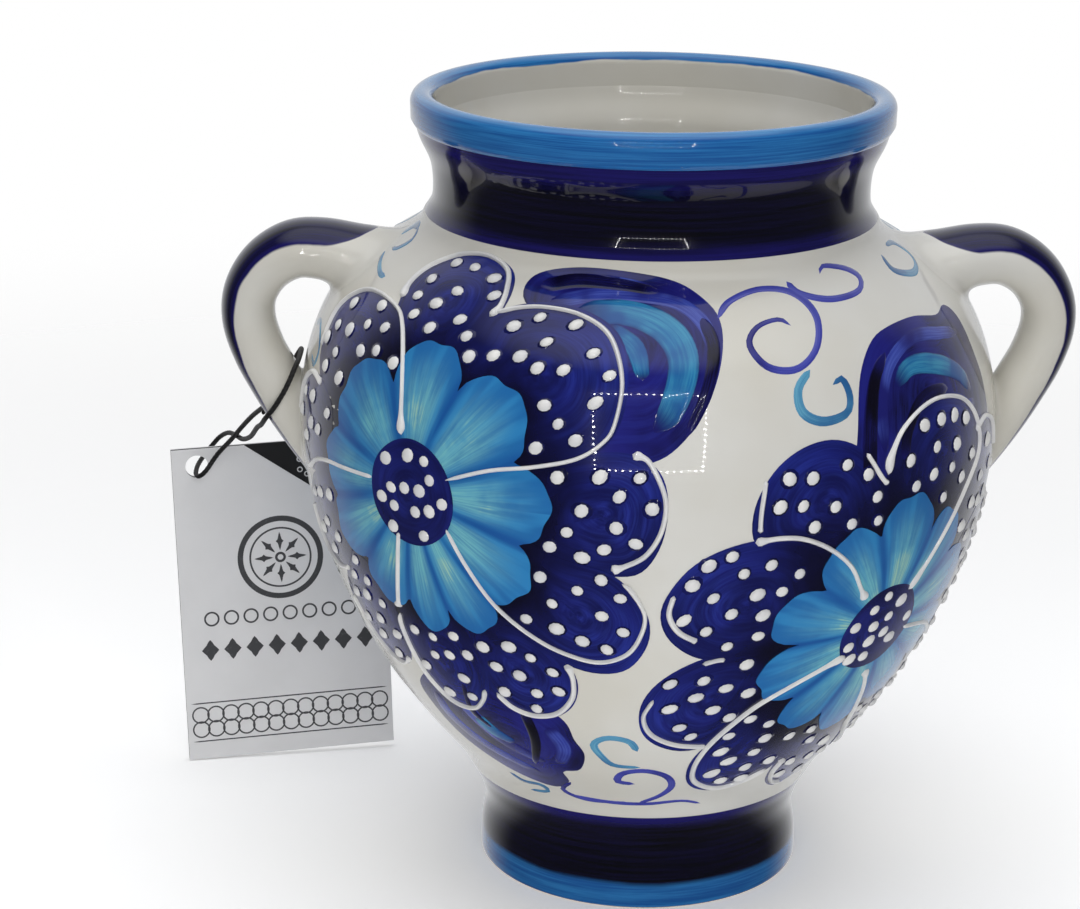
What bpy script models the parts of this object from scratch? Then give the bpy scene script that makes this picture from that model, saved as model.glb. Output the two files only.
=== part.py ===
"""Two-handled painted pottery vase with a swing tag on a loop of cord.

Metres, +Z up. The origin is the centre of the foot's underside, the handles lie on X, and the
painted front looks along -Y. Every turned piece is one outline spun round Z by a Screw modifier.
"""

import math

import bmesh
import bpy
from mathutils import Matrix, Vector

MM = 0.001

# ---- driving dimensions, in millimetres ----
GAP = 0.3               # clearance between pieces that touch
WALL = 6.0              # thrown wall of the belly
NECK_WALL = 4.8
FOOT_TOP = 25.0         # where the foot ring meets the belly
SHOULDER_TOP = 161.5    # where the belly meets the neck collar
COLLAR_TOP = 182.0      # where the neck collar meets the rolled rim
RIM_HEIGHT = 190.0
RIM_RADIUS = 53.6       # centre line of the rolled rim
RIM_ROLL = 2.8          # radius of the roll
FLOOR = 7.0             # thickness of the belly's floor
TURN_STEPS = 48         # facets round each turned piece

# Outer side of each turned piece, as (height, radius) from the foot upwards.
FOOT_SIDE = [(0.0, 38.4), (1.0, 39.1), (7.0, 38.9), (14.0, 38.0), (20.0, 39.6), (25.0, 42.3)]
FOOT_INSIDE = [(0.0, 34.2), (1.0, 33.4), (12.0, 31.0), (25.0, 29.5)]
BELLY_SIDE = [(25.0, 42.3), (31.0, 46.0), (42.0, 55.1), (57.0, 65.5), (76.0, 74.8), (95.0, 80.6),
              (114.0, 82.6), (129.0, 80.6), (142.5, 74.7), (152.0, 64.8), (158.0, 55.6), (161.5, 53.1)]
NECK_SIDE = [(161.5, 53.0), (165.5, 51.2), (173.0, 51.6), (179.0, 54.2), (182.0, 55.2)]

# Handle centre line in the XZ plane with the half thickness of the strap there: (x, z, half).
HANDLE_LINE = [(57.0, 147.5, 8.2), (68.0, 149.2, 7.9), (77.0, 151.4, 7.2), (84.0, 151.2, 6.9),
               (90.3, 147.4, 6.6), (94.2, 141.2, 6.4), (94.8, 134.5, 6.35), (92.6, 127.0, 6.3),
               (89.0, 120.0, 6.3), (85.0, 112.6, 6.0), (80.6, 105.0, 5.4), (76.0, 98.0, 4.8)]
STRAP_WIDTH_RATIO = 1.42   # width of the strap over its thickness

# Swing tag: three stacked card leaves, hinged at their left edge.
CARD_WIDTH = 55.0
CARD_HEIGHT = 85.0
LEAF = 0.4              # thickness of one leaf
LEAF_PITCH = 0.8        # from one leaf to the next
TAG_CORNER = (-117.6, 47.3, 0.3)   # lower left corner of the front leaf
TAG_TURN = (-1.6, 3.3, 11.6)       # degrees: in-plane tilt, lean back, turn about Z
PUNCH = (6.5, 80.3)     # centre of the punched hole on the card
PUNCH_RADIUS = 3.0
FRONT_CUT = 19.0        # where the diagonal corner cut starts on the front leaf's top edge
INNER_CUT = 30.0
CUT_SLOPE = math.radians(36.0)

# Cord: a waxed cotton loop through the handle and the punched hole, closed by a knot.
CORD_DIAMETER = 1.3
CORD_STEP = 2.9         # distance between the points of its curve
CORD_ROUTE = [
    (-89.5, 12.7, 112.3), (-87.6, 11.5, 116.0), (-85.2, 10.7, 121.0), (-83.4, 8.6, 124.4),
    (-82.9, 4.0, 125.3), (-82.9, -4.0, 125.3), (-83.4, -8.7, 124.6), (-84.4, -10.2, 122.3),
    (-86.0, -10.4, 119.0), (-88.3, -10.1, 115.2), (-90.6, -7.8, 111.9), (-92.2, -2.0, 108.6),
    (-94.2, 8.0, 104.8), (-97.2, 22.0, 98.3), (-100.5, 35.2, 93.6), (-103.4, 46.4, 91.2),
    (-106.0, 53.2, 89.8), (-108.7, 58.0, 87.3), (-111.0, 60.0, 84.4), (-113.0, 59.6, 81.9),
    (-114.2, 57.0, 80.5), (-114.5, 53.3, 80.0), (-114.3, 49.8, 79.6), (-113.2, 47.5, 79.7),
    (-111.4, 47.2, 81.3), (-108.4, 47.7, 85.6), (-104.3, 43.2, 91.0), (-101.0, 37.4, 96.0),
    (-97.6, 29.6, 101.2), (-94.4, 21.6, 105.6), (-92.2, 16.6, 108.2)]
KNOT_AT = (-90.7, 14.1, 110.4)
KNOT_RADIUS = 1.9

# The cord lies over the crotch under the handle: the tag swings about Y there.
SWING_AT = (-82.9, 0.0, 125.3)


# ---- helpers ----

def clear_scene():
    for old in list(bpy.data.objects):
        bpy.data.objects.remove(old, do_unlink=True)


def new_collection(name):
    group = bpy.data.collections.new(name)
    bpy.context.scene.collection.children.link(group)
    return group


def material(name, colour, roughness, metallic=0.0):
    made = bpy.data.materials.new(name)
    made.use_nodes = True
    shader = made.node_tree.nodes["Principled BSDF"]
    shader.inputs["Base Color"].default_value = (*colour, 1.0)
    shader.inputs["Roughness"].default_value = roughness
    shader.inputs["Metallic"].default_value = metallic
    return made


def smooth_points(points, per_span):
    """Points on a smooth curve through the given ones, per_span of them between each pair."""
    knots = [Vector(p) for p in points]
    ends = [2 * knots[0] - knots[1], *knots, 2 * knots[-1] - knots[-2]]
    line = []
    for before, start, end, after in zip(ends, ends[1:], ends[2:], ends[3:]):
        for step in range(per_span):
            t = step / per_span
            line.append(0.5 * (2 * start + (end - before) * t
                               + (2 * before - 5 * start + 4 * end - after) * t ** 2
                               + (3 * start - before - 3 * end + after) * t ** 3))
    line.append(knots[-1])
    return line


def even_points(points, step):
    """The same smooth curve, with its points about one step apart."""
    fine = smooth_points(points, 24)
    total = sum((b - a).length for a, b in zip(fine, fine[1:]))
    spacing = total / round(total / step)
    line = [fine[0]]
    travelled = 0.0
    for a, b in zip(fine, fine[1:]):
        travelled += (b - a).length
        if travelled >= spacing * len(line) - 1e-6:
            line.append(b)
    return line


def smooth_side(side, per_span=2):
    return [(p.x, p.y) for p in smooth_points([(z, r, 0.0) for z, r in side], per_span)]


def finish_piece(obj, group, finish):
    group.objects.link(obj)
    obj.data.materials.append(finish)
    return obj


def turned(name, group, finish, outline):
    """A closed ring or bowl: the outline is (height, radius) in mm, down its outer side."""
    mesh = bpy.data.meshes.new(name)
    corners = [(radius * MM, 0.0, height * MM) for height, radius in outline]
    closed = outline[0][1] > 0.0
    edges = [(i, i + 1) for i in range(len(corners) - 1)]
    if closed:
        edges.append((len(corners) - 1, 0))
    mesh.from_pydata(corners, edges, [])
    obj = finish_piece(bpy.data.objects.new(name, mesh), group, finish)
    screw = obj.modifiers.new("turn", "SCREW")
    screw.angle = math.tau
    screw.steps = TURN_STEPS
    screw.render_steps = TURN_STEPS
    screw.use_merge_vertices = True
    screw.merge_threshold = 1e-5
    screw.use_smooth_shade = True
    return obj


def evaluated_mesh(obj):
    graph = bpy.context.evaluated_depsgraph_get()
    return bpy.data.meshes.new_from_object(obj.evaluated_get(graph), depsgraph=graph)


# ---- the pot ----

def make_foot(group, finish):
    outer = smooth_side(FOOT_SIDE)[::-1]
    inner = smooth_side(FOOT_INSIDE)
    return turned("foot_ring", group, finish, outer + inner)


def make_belly(group, finish):
    base = FOOT_TOP + GAP
    outer = [(max(z, base), r) for z, r in smooth_side(BELLY_SIDE)][::-1]
    floor_height = base + FLOOR
    inner = [(z, r - WALL) for z, r in smooth_side(BELLY_SIDE, 1) if z > floor_height + 4.0]
    inner_floor = [(floor_height, 0.0), (floor_height, 28.0), (floor_height + 2.5, 38.5)]
    inner[-1] = (SHOULDER_TOP, BELLY_SIDE[-1][1] - WALL)
    return turned("belly", group, finish, inner_floor + inner + outer + [(base, 0.0)])


def make_neck(group, finish):
    low = SHOULDER_TOP + GAP
    outer = [(max(z, low), r) for z, r in smooth_side(NECK_SIDE)][::-1]
    inner = [(z, r - NECK_WALL) for z, r in reversed(outer)]
    return turned("neck_collar", group, finish, outer + inner)


def make_rim(group, finish):
    """The roll at the mouth: a rounded bead over a short skirt, from its inside to its outside."""
    low = COLLAR_TOP + GAP
    outline = [(low, NECK_SIDE[-1][1] - NECK_WALL)]
    for step in range(9):
        angle = math.pi * step / 8
        outline.append((RIM_HEIGHT - RIM_ROLL + RIM_ROLL * math.sin(angle),
                        RIM_RADIUS - RIM_ROLL * math.cos(angle)))
    outline.append((low, NECK_SIDE[-1][1]))
    return turned("rolled_rim", group, finish, outline)


def belly_cutter(group, finish):
    """A solid a little fuller than the belly, which trims the roots of the handles."""
    side = [(z, r + GAP) for z, r in smooth_side(BELLY_SIDE)][::-1]
    cutter = turned("cutter_belly", group, finish, [(side[0][0], 0.0), *side, (side[-1][0], 0.0)])
    cutter.hide_render = True
    cutter.display_type = "WIRE"
    return cutter


def make_handle(name, side, group, finish, cutter):
    """An ear-shaped strap of oval section on side +1 or -1 of the pot, cut to fit the belly."""
    curve = bpy.data.curves.new(name + "_line", "CURVE")
    curve.dimensions = "3D"
    curve.bevel_depth = MM
    curve.bevel_resolution = 6
    curve.use_fill_caps = True
    spline = curve.splines.new("POLY")
    line = smooth_points(HANDLE_LINE, 2)
    spline.points.add(len(line) - 1)
    for point, (x, z, half) in zip(spline.points, line):
        point.co = (side * x * MM, 0.0, z * MM, 1.0)
        point.radius = half
    guide = bpy.data.objects.new(name + "_line", curve)
    guide.scale = (1.0, STRAP_WIDTH_RATIO, 1.0)
    bpy.context.scene.collection.objects.link(guide)
    bpy.context.view_layer.update()
    mesh = evaluated_mesh(guide)
    mesh.transform(guide.matrix_world)
    bpy.data.objects.remove(guide, do_unlink=True)
    mesh.name = name
    weld_mesh(mesh)
    mesh.materials.clear()
    obj = finish_piece(bpy.data.objects.new(name, mesh), group, finish)
    mesh.shade_smooth()
    trim = obj.modifiers.new("trim", "BOOLEAN")
    trim.operation = "DIFFERENCE"
    trim.object = cutter
    trim.solver = "EXACT"
    return obj


def weld_mesh(mesh):
    work = bmesh.new()
    work.from_mesh(mesh)
    bmesh.ops.remove_doubles(work, verts=work.verts[:], dist=1e-6)
    bmesh.ops.recalc_face_normals(work, faces=work.faces[:])
    work.to_mesh(mesh)
    work.free()


# ---- the swing tag ----

def tag_rotation():
    tilt, lean, turn = (math.radians(a) for a in TAG_TURN)
    return (Matrix.Rotation(turn, 4, "Z") @ Matrix.Rotation(-lean, 4, "X")
            @ Matrix.Rotation(tilt, 4, "Y"))


def empty(name, at, group, parent=None):
    holder = bpy.data.objects.new(name, None)
    holder.location = at
    group.objects.link(holder)
    if parent:
        holder.parent = parent
    return holder


def make_leaf(name, layer, cut_from, parent, group, finish):
    """One card leaf in the tag's own plane; cut_from is where its corner is cut off, or None."""
    curve = bpy.data.curves.new(name, "CURVE")
    curve.dimensions = "2D"
    curve.fill_mode = "BOTH"
    curve.extrude = LEAF / 2 * MM
    outline = [(0.0, 0.0), (CARD_WIDTH, 0.0)]
    if cut_from is None:
        outline.append((CARD_WIDTH, CARD_HEIGHT))
    else:
        drop = (CARD_WIDTH - cut_from) * math.tan(CUT_SLOPE)
        outline += [(CARD_WIDTH, CARD_HEIGHT - drop), (cut_from, CARD_HEIGHT)]
    outline.append((0.0, CARD_HEIGHT))
    punch = []
    for step in range(16):
        angle = -math.tau * step / 16
        punch.append((PUNCH[0] + PUNCH_RADIUS * math.cos(angle),
                      PUNCH[1] + PUNCH_RADIUS * math.sin(angle)))
    for ring in (outline, punch):
        spline = curve.splines.new("POLY")
        spline.points.add(len(ring) - 1)
        spline.use_cyclic_u = True
        for point, (x, y) in zip(spline.points, ring):
            point.co = (x * MM, y * MM, 0.0, 1.0)
    obj = finish_piece(bpy.data.objects.new(name, curve), group, finish)
    stand_up = tag_rotation() @ Matrix.Rotation(math.radians(90.0), 4, "X")
    corner = Vector(TAG_CORNER) + tag_rotation() @ Vector((0.0, LEAF_PITCH * layer + LEAF / 2, 0.0))
    obj.parent = parent
    obj.location = corner * MM - parent.matrix_world.translation
    obj.rotation_euler = stand_up.to_euler()
    return obj


def make_tag(group, finishes):
    swing = empty("tag_swing_axis", Vector(SWING_AT) * MM, group)
    bpy.context.view_layer.update()
    make_leaf("tag_front_leaf", 0, FRONT_CUT, swing, group, finishes["card"])
    make_leaf("tag_inner_leaf", 1, INNER_CUT, swing, group, finishes["black_card"])
    make_leaf("tag_back_leaf", 2, None, swing, group, finishes["card"])
    return swing


def make_cord(swing, group, finish):
    curve = bpy.data.curves.new("tag_cord", "CURVE")
    curve.dimensions = "3D"
    curve.bevel_depth = CORD_DIAMETER / 2 * MM
    curve.bevel_resolution = 2
    curve.use_fill_caps = True
    spline = curve.splines.new("POLY")
    line = even_points(CORD_ROUTE, CORD_STEP)
    spline.points.add(len(line) - 1)
    origin = Vector(SWING_AT)
    for point, place in zip(spline.points, line):
        point.co = (*((place - origin) * MM), 1.0)
    obj = finish_piece(bpy.data.objects.new("tag_cord", curve), group, finish)
    obj.parent = swing
    length = sum((b - a).length for a, b in zip(line, line[1:]))
    print(f"tag_cord: {len(line)} points, {length:.1f} mm")
    return obj


def make_knot(swing, group, finish):
    bpy.ops.mesh.primitive_uv_sphere_add(segments=14, ring_count=8, radius=KNOT_RADIUS * MM)
    obj = bpy.context.active_object
    obj.name = "cord_knot"
    for old in list(obj.users_collection):
        old.objects.unlink(obj)
    finish_piece(obj, group, finish)
    obj.data.shade_smooth()
    obj.parent = swing
    obj.location = (Vector(KNOT_AT) - Vector(SWING_AT)) * MM
    return obj


# ---- the whole vase ----

def main():
    clear_scene()
    group = new_collection("painted_vase")
    cutters = new_collection("cutters")
    white = material("white_glaze", (0.70, 0.69, 0.65), 0.18)
    navy = material("navy_glaze", (0.012, 0.014, 0.05), 0.12)
    blue = material("rim_blue_glaze", (0.05, 0.22, 0.50), 0.2)
    finishes = {"card": material("card", (0.62, 0.62, 0.61), 0.7),
                "black_card": material("black_card", (0.02, 0.02, 0.02), 0.6)}
    cord = material("waxed_cord", (0.01, 0.01, 0.01), 0.6)
    make_foot(group, navy)
    make_belly(group, white)
    make_neck(group, navy)
    make_rim(group, blue)
    cutter = belly_cutter(cutters, white)
    make_handle("handle_right", 1, group, white, cutter)
    make_handle("handle_left", -1, group, white, cutter)
    swing = make_tag(group, finishes)
    make_cord(swing, group, cord)
    make_knot(swing, group, cord)


main()
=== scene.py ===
# %% [markdown]
# # A painted two-handled vase with its hang tag
#
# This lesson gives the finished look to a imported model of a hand-painted pottery vase. The
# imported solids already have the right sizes, joints and places. Here every visible piece is made
# again finely: the turned clay, the strap handles, the brushed flowers with their raised slip,
# and the folded card that hangs on a waxed cord.

import math
import random

import bmesh
import bpy
import numpy as np
from mathutils import Matrix, Vector


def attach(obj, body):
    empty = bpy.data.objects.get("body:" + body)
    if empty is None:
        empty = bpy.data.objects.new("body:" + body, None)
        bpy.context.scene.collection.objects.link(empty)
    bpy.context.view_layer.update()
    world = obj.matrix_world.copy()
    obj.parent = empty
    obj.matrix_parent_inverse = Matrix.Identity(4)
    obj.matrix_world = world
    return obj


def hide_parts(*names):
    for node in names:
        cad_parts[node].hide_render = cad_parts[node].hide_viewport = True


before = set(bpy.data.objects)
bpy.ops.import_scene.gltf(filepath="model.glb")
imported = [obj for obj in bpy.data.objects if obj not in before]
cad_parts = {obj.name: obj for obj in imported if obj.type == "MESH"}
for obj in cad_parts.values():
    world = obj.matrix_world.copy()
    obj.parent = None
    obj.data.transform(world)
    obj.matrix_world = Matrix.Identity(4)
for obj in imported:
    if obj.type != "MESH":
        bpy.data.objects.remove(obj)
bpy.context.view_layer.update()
MM = 0.001

# %% [markdown]
# ## Camera
#
# The vase is seen from the front and a little above, with a long lens, so that the mouth shows
# as a flat oval. Building the camera's matrix from a place and three turns keeps each turn
# readable: first the roll, then the pitch down, then the heading.

# %% Camera
EYE = Vector((-0.0290, -0.6650, 0.3064))
PITCH_DOWN = math.radians(17.16)
HEADING = math.radians(-0.31)
ROLL = math.radians(0.60)
LENS = 96.3             # mm, for a sensor of SENSOR mm
SENSOR = 36.0


def make_camera():
    lens = bpy.data.cameras.new("front_camera")
    lens.lens = LENS
    lens.sensor_width = SENSOR
    camera = bpy.data.objects.new("front_camera", lens)
    camera.matrix_world = (Matrix.Translation(EYE) @ Matrix.Rotation(HEADING, 4, "Z")
                           @ Matrix.Rotation(math.pi / 2 - PITCH_DOWN, 4, "X")
                           @ Matrix.Rotation(ROLL, 4, "Z"))
    bpy.context.scene.collection.objects.link(camera)
    bpy.context.scene.camera = camera
    return camera


camera = make_camera()
print("camera height in mm:", round(camera.location.z / MM))

# %% [markdown]
# ## One tool for every wrapped shape
#
# Cord, paint strokes, petals, dots and handles are all the same idea: a flat grid whose points
# are carried to a new place. `create_grid` makes the faces and the UVs, a small function moves
# each point, and merging doubles closes the seam and the poles. Working in millimetres until
# the very end keeps the numbers easy to read.

# %% Grid wrapping and finishing helpers
MERGE = 0.004           # mm, closer points than this become one


def new_mesh_work():
    """An empty bmesh with a UV layer and one spare number for each point."""
    work = bmesh.new()
    work.loops.layers.uv.new("wrap")
    work.verts.layers.float.new("tone")
    return work


def wrap_grid(work, columns, rows, place):
    """A grid of columns by rows faces; place(u, v) gives each point's spot in mm and its tone."""
    tone_layer = work.verts.layers.float["tone"]
    made = bmesh.ops.create_grid(work, x_segments=columns, y_segments=rows, size=0.5,
                                 calc_uvs=True)
    for vert in made["verts"]:
        spot, tone = place(vert.co.x + 0.5, vert.co.y + 0.5)
        vert.co = spot
        vert[tone_layer] = tone
    bmesh.ops.remove_doubles(work, verts=made["verts"], dist=MERGE)


def finish_piece(name, work, body, finish, replaced=None, sharp=40.0):
    """The bmesh, in mm, becomes a smooth-shaded piece in metres that rides on a body."""
    bmesh.ops.recalc_face_normals(work, faces=work.faces[:])
    bmesh.ops.scale(work, vec=(MM, MM, MM), verts=work.verts[:])
    mesh = bpy.data.meshes.new(name)
    work.to_mesh(mesh)
    work.free()
    mesh.materials.append(finish)
    mesh.shade_smooth()
    mesh.set_sharp_from_angle(angle=math.radians(sharp))
    piece = bpy.data.objects.new(name, mesh)
    bpy.context.scene.collection.objects.link(piece)
    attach(piece, body)
    if replaced:
        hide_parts(replaced)
    triangles = sum(len(p.vertices) - 2 for p in mesh.polygons)
    print(f"{name}: {triangles} triangles")
    return piece


def smooth_path(points, per_span, closed=False):
    """A Catmull-Rom curve through the points, as an array."""
    knots = [np.array(p, float) for p in points]
    if closed:
        ends = [knots[-1], *knots, knots[0], knots[1]]
    else:
        ends = [2 * knots[0] - knots[1], *knots, 2 * knots[-1] - knots[-2]]
    line = []
    for before, start, end, after in zip(ends, ends[1:], ends[2:], ends[3:]):
        for step in range(per_span):
            t = step / per_span
            line.append(0.5 * (2 * start + (end - before) * t
                               + (2 * before - 5 * start + 4 * end - after) * t ** 2
                               + (3 * start - before - 3 * end + after) * t ** 3))
    line.append(knots[0] if closed else knots[-1])
    return np.array(line)


def arc_lengths(line):
    return np.concatenate([[0.0], np.cumsum(np.linalg.norm(np.diff(line, axis=0), axis=1))])


def even_path(line, count):
    """The same line as count points that are evenly spaced along it."""
    reach = arc_lengths(line)
    wanted = np.linspace(0.0, reach[-1], count)
    return np.stack([np.interp(wanted, reach, line[:, k]) for k in range(line.shape[1])], axis=1)


# %% [markdown]
# ## Shader building blocks
#
# A material is a small graph. `node` places one box and fills its sockets, either with a value
# or with another box's output, so that a finish reads as a list of steps. Colours are written
# as the 0 to 255 values that a painter's colour picker shows, and turned to linear light.

# %% Node helpers
def srgb(red, green, blue):
    """A screen colour, 0 to 255, as linear light with full alpha."""
    linear = []
    for value in (red, green, blue):
        part = value / 255.0
        linear.append(part / 12.92 if part <= 0.04045 else ((part + 0.055) / 1.055) ** 2.4)
    return (*linear, 1.0)


def node(tree, kind, inputs=None, **settings):
    """One node; inputs maps socket names or numbers to values or to other nodes' outputs."""
    made = tree.nodes.new(kind)
    for name, value in settings.items():
        setattr(made, name, value)
    for key, value in (inputs or {}).items():
        if isinstance(value, bpy.types.NodeSocket):
            tree.links.new(value, made.inputs[key])
        else:
            made.inputs[key].default_value = value
    return made


def math_node(tree, operation, first, second=0.5, third=0.5):
    inputs = {0: first, 1: second, 2: third}
    return node(tree, "ShaderNodeMath", inputs, operation=operation).outputs[0]


def times(tree, first, second):
    return math_node(tree, "MULTIPLY", first, second)


def minus(tree, first, second):
    return math_node(tree, "SUBTRACT", first, second)


def mix_colour(tree, factor, first, second):
    inputs = {0: factor, 6: first, 7: second}
    return node(tree, "ShaderNodeMix", inputs, data_type="RGBA").outputs[2]


def smooth_mask(tree, value, low, high, to_low=0.0, to_high=1.0):
    """0 to 1 (or to_low to to_high) as value goes smoothly from low to high."""
    made = node(tree, "ShaderNodeMapRange",
                {"Value": value, "From Min": low, "From Max": high,
                 "To Min": to_low, "To Max": to_high}, interpolation_type="SMOOTHSTEP")
    return made.outputs["Result"]


def noise(tree, vector, scale, detail=3.0, roughness=0.5):
    inputs = {"Vector": vector, "Scale": scale, "Detail": detail, "Roughness": roughness}
    return node(tree, "ShaderNodeTexNoise", inputs).outputs["Fac"]


def stretched(tree, vector, scale):
    made = node(tree, "ShaderNodeMapping", {"Vector": vector, "Scale": scale})
    return made.outputs["Vector"]


def object_place(tree):
    return node(tree, "ShaderNodeTexCoord").outputs["Object"]


def wrap_place(tree):
    return node(tree, "ShaderNodeUVMap", uv_map="wrap").outputs["UV"]


def tone_value(tree):
    return node(tree, "ShaderNodeAttribute", attribute_name="tone").outputs["Fac"]


def new_group(name, inputs, outputs):
    """An empty node group: inputs and outputs are (name, socket type, default) and (name, type)."""
    tree = bpy.data.node_groups.new(name, "ShaderNodeTree")
    for socket_name, kind, default in inputs:
        socket = tree.interface.new_socket(socket_name, in_out="INPUT", socket_type=kind)
        socket.default_value = default
    for socket_name, kind in outputs:
        tree.interface.new_socket(socket_name, in_out="OUTPUT", socket_type=kind)
    start = tree.nodes.new("NodeGroupInput")
    end = tree.nodes.new("NodeGroupOutput")
    return tree, start.outputs, end


def use_group(tree, group, inputs):
    return node(tree, "ShaderNodeGroup", inputs, node_tree=group).outputs


def combined(tree, x, y, z=0.0):
    return node(tree, "ShaderNodeCombineXYZ", {0: x, 1: y, 2: z}).outputs[0]


def separated(tree, vector):
    return node(tree, "ShaderNodeSeparateXYZ", {0: vector}).outputs


def add_bump(tree, shader, height, strength, distance):
    raised = node(tree, "ShaderNodeBump",
                  {"Height": height, "Strength": strength, "Distance": distance})
    tree.links.new(raised.outputs["Normal"], shader.inputs["Normal"])


def new_material(name, roughness, coat=0.0, coat_roughness=0.03):
    """A Principled material whose plain numbers sit on the shader's own sockets."""
    made = bpy.data.materials.new(name)
    made.use_nodes = True
    shader = made.node_tree.nodes["Principled BSDF"]
    shader.inputs["Roughness"].default_value = roughness
    shader.inputs["IOR"].default_value = 1.5
    shader.inputs["Coat Weight"].default_value = coat
    shader.inputs["Coat Roughness"].default_value = coat_roughness
    if coat > 0.9:
        shader.inputs["Specular IOR Level"].default_value = 0.1
    return made, made.node_tree, shader


# %% [markdown]
# ### Effects that several finishes share
#
# Brushed underglaze shows the bristles as long streaks, so one group stretches noise along the
# stroke. The glaze itself is never flat: throwing rings, slow waves and a few pinholes show in
# its highlights, so a second group gives that height to every glazed piece. A third group
# gives a painted band its unsteady hand-drawn edge.

# %% Node groups: bristle streaks, glaze surface and hand-drawn edge
def build_streaks_group():
    """Long bristle marks; Vector is in mm, X along the stroke and Y across it."""
    tree, given, end = new_group(
        "bristle_streaks",
        [("Vector", "NodeSocketVector", (0.0, 0.0, 0.0)), ("Across", "NodeSocketFloat", 1.0),
         ("Along", "NodeSocketFloat", 0.05)],
        [("Streak", "NodeSocketFloat"), ("Load", "NodeSocketFloat")])
    split = separated(tree, given["Vector"])
    along = times(tree, split[0], given["Along"])
    across = times(tree, split[1], given["Across"])
    bent = combined(tree, along, across, split[2])
    fine = noise(tree, bent, 1.0, detail=5.0, roughness=0.62)
    broad = noise(tree, stretched(tree, bent, (0.7, 0.22, 1.0)), 1.0, detail=2.0)
    streak = smooth_mask(tree, fine, 0.34, 0.68)
    load = smooth_mask(tree, broad, 0.36, 0.66)
    tree.links.new(streak, end.inputs["Streak"])
    tree.links.new(load, end.inputs["Load"])
    return tree


def build_glaze_group():
    """Height of a thrown, hand-dipped glaze, and a mask of its pinholes and thin spots."""
    tree, given, end = new_group(
        "thrown_glaze",
        [("Vector", "NodeSocketVector", (0.0, 0.0, 0.0)), ("Rings", "NodeSocketFloat", 1.0)],
        [("Height", "NodeSocketFloat"), ("Pooled", "NodeSocketFloat"),
         ("Pinhole", "NodeSocketFloat")])
    waves = noise(tree, given["Vector"], 42.0, detail=2.0, roughness=0.4)
    rings = noise(tree, stretched(tree, given["Vector"], (6.0, 6.0, 210.0)), 1.0, detail=2.0)
    rings = times(tree, rings, given["Rings"])
    orange_peel = noise(tree, given["Vector"], 420.0, detail=2.0, roughness=0.5)
    height = math_node(tree, "MULTIPLY_ADD", waves, 0.55, rings)
    height = math_node(tree, "MULTIPLY_ADD", orange_peel, 0.035, height)
    cells = node(tree, "ShaderNodeTexVoronoi", {"Vector": given["Vector"], "Scale": 120.0})
    pit = smooth_mask(tree, cells.outputs["Distance"], 0.05, 0.02)
    rare = smooth_mask(tree, noise(tree, given["Vector"], 55.0, detail=1.0), 0.60, 0.66)
    pinhole = times(tree, pit, rare)
    height = math_node(tree, "MULTIPLY_ADD", pinhole, -0.25, height)
    pooled = smooth_mask(tree, noise(tree, given["Vector"], 16.0, detail=4.0), 0.35, 0.70)
    tree.links.new(height, end.inputs["Height"])
    tree.links.new(pooled, end.inputs["Pooled"])
    tree.links.new(pinhole, end.inputs["Pinhole"])
    return tree


def build_edge_group():
    """A mask that is 1 above Edge, with a waver of size Waver (mm) and a Soft transition."""
    tree, given, end = new_group(
        "hand_drawn_edge",
        [("Vector", "NodeSocketVector", (0.0, 0.0, 0.0)), ("Value", "NodeSocketFloat", 0.0),
         ("Edge", "NodeSocketFloat", 0.0), ("Waver", "NodeSocketFloat", 0.5),
         ("Soft", "NodeSocketFloat", 0.2)],
        [("Mask", "NodeSocketFloat")])
    slow = noise(tree, given["Vector"], 45.0, detail=3.0)
    shift = minus(tree, slow, 0.5)
    value = math_node(tree, "MULTIPLY_ADD", shift, given["Waver"], given["Value"])
    low = minus(tree, given["Edge"], given["Soft"])
    high = math_node(tree, "ADD", given["Edge"], given["Soft"])
    tree.links.new(smooth_mask(tree, value, low, high), end.inputs["Mask"])
    return tree


streaks_group = build_streaks_group()
glaze_group = build_glaze_group()
edge_group = build_edge_group()
print("shared groups:", [g.name for g in bpy.data.node_groups])

# %% [markdown]
# ## The waxed cord and its knot
#
# The tag hangs on a loop of waxed cotton, passed over the crotch of the left handle and through
# the punched hole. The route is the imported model's own: about 191 mm of cord, 1.3 mm thick,
# lying under its own weight, closed behind the handle by an overhand knot. Three plies twist
# round each other, so the tube's section is a soft three-leaf shape that turns as it goes.

# %% Cord route and a tube along any path
CORD_DIAMETER = 1.3
CORD_ROUTE = [
    (-89.5, 12.7, 112.3), (-87.6, 11.5, 116.0), (-85.2, 10.7, 121.0), (-83.4, 8.6, 124.4),
    (-82.9, 4.0, 125.3), (-82.9, -4.0, 125.3), (-83.4, -8.7, 124.6), (-84.4, -10.2, 122.3),
    (-86.0, -10.4, 119.0), (-88.3, -10.1, 115.2), (-90.6, -7.8, 111.9), (-92.2, -2.0, 108.6),
    (-94.2, 8.0, 104.8), (-97.2, 22.0, 98.3), (-100.5, 35.2, 93.6), (-103.4, 46.4, 91.2),
    (-106.0, 53.2, 89.8), (-108.7, 58.0, 87.3), (-111.0, 60.0, 84.4), (-113.0, 59.6, 81.9),
    (-114.2, 57.0, 80.5), (-114.5, 53.3, 80.0), (-114.3, 49.8, 79.6), (-113.2, 47.5, 79.7),
    (-111.4, 47.2, 81.3), (-108.4, 47.7, 85.6), (-104.3, 43.2, 91.0), (-101.0, 37.4, 96.0),
    (-97.6, 29.6, 101.2), (-94.4, 21.6, 105.6), (-92.2, 16.6, 108.2)]
KNOT_AT = (-90.7, 14.1, 110.4)
KNOT_SIZE = 0.62
PLY_TURN = 3.6          # mm of cord for one full turn of the plies
PLY_DEPTH = 0.12
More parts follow.
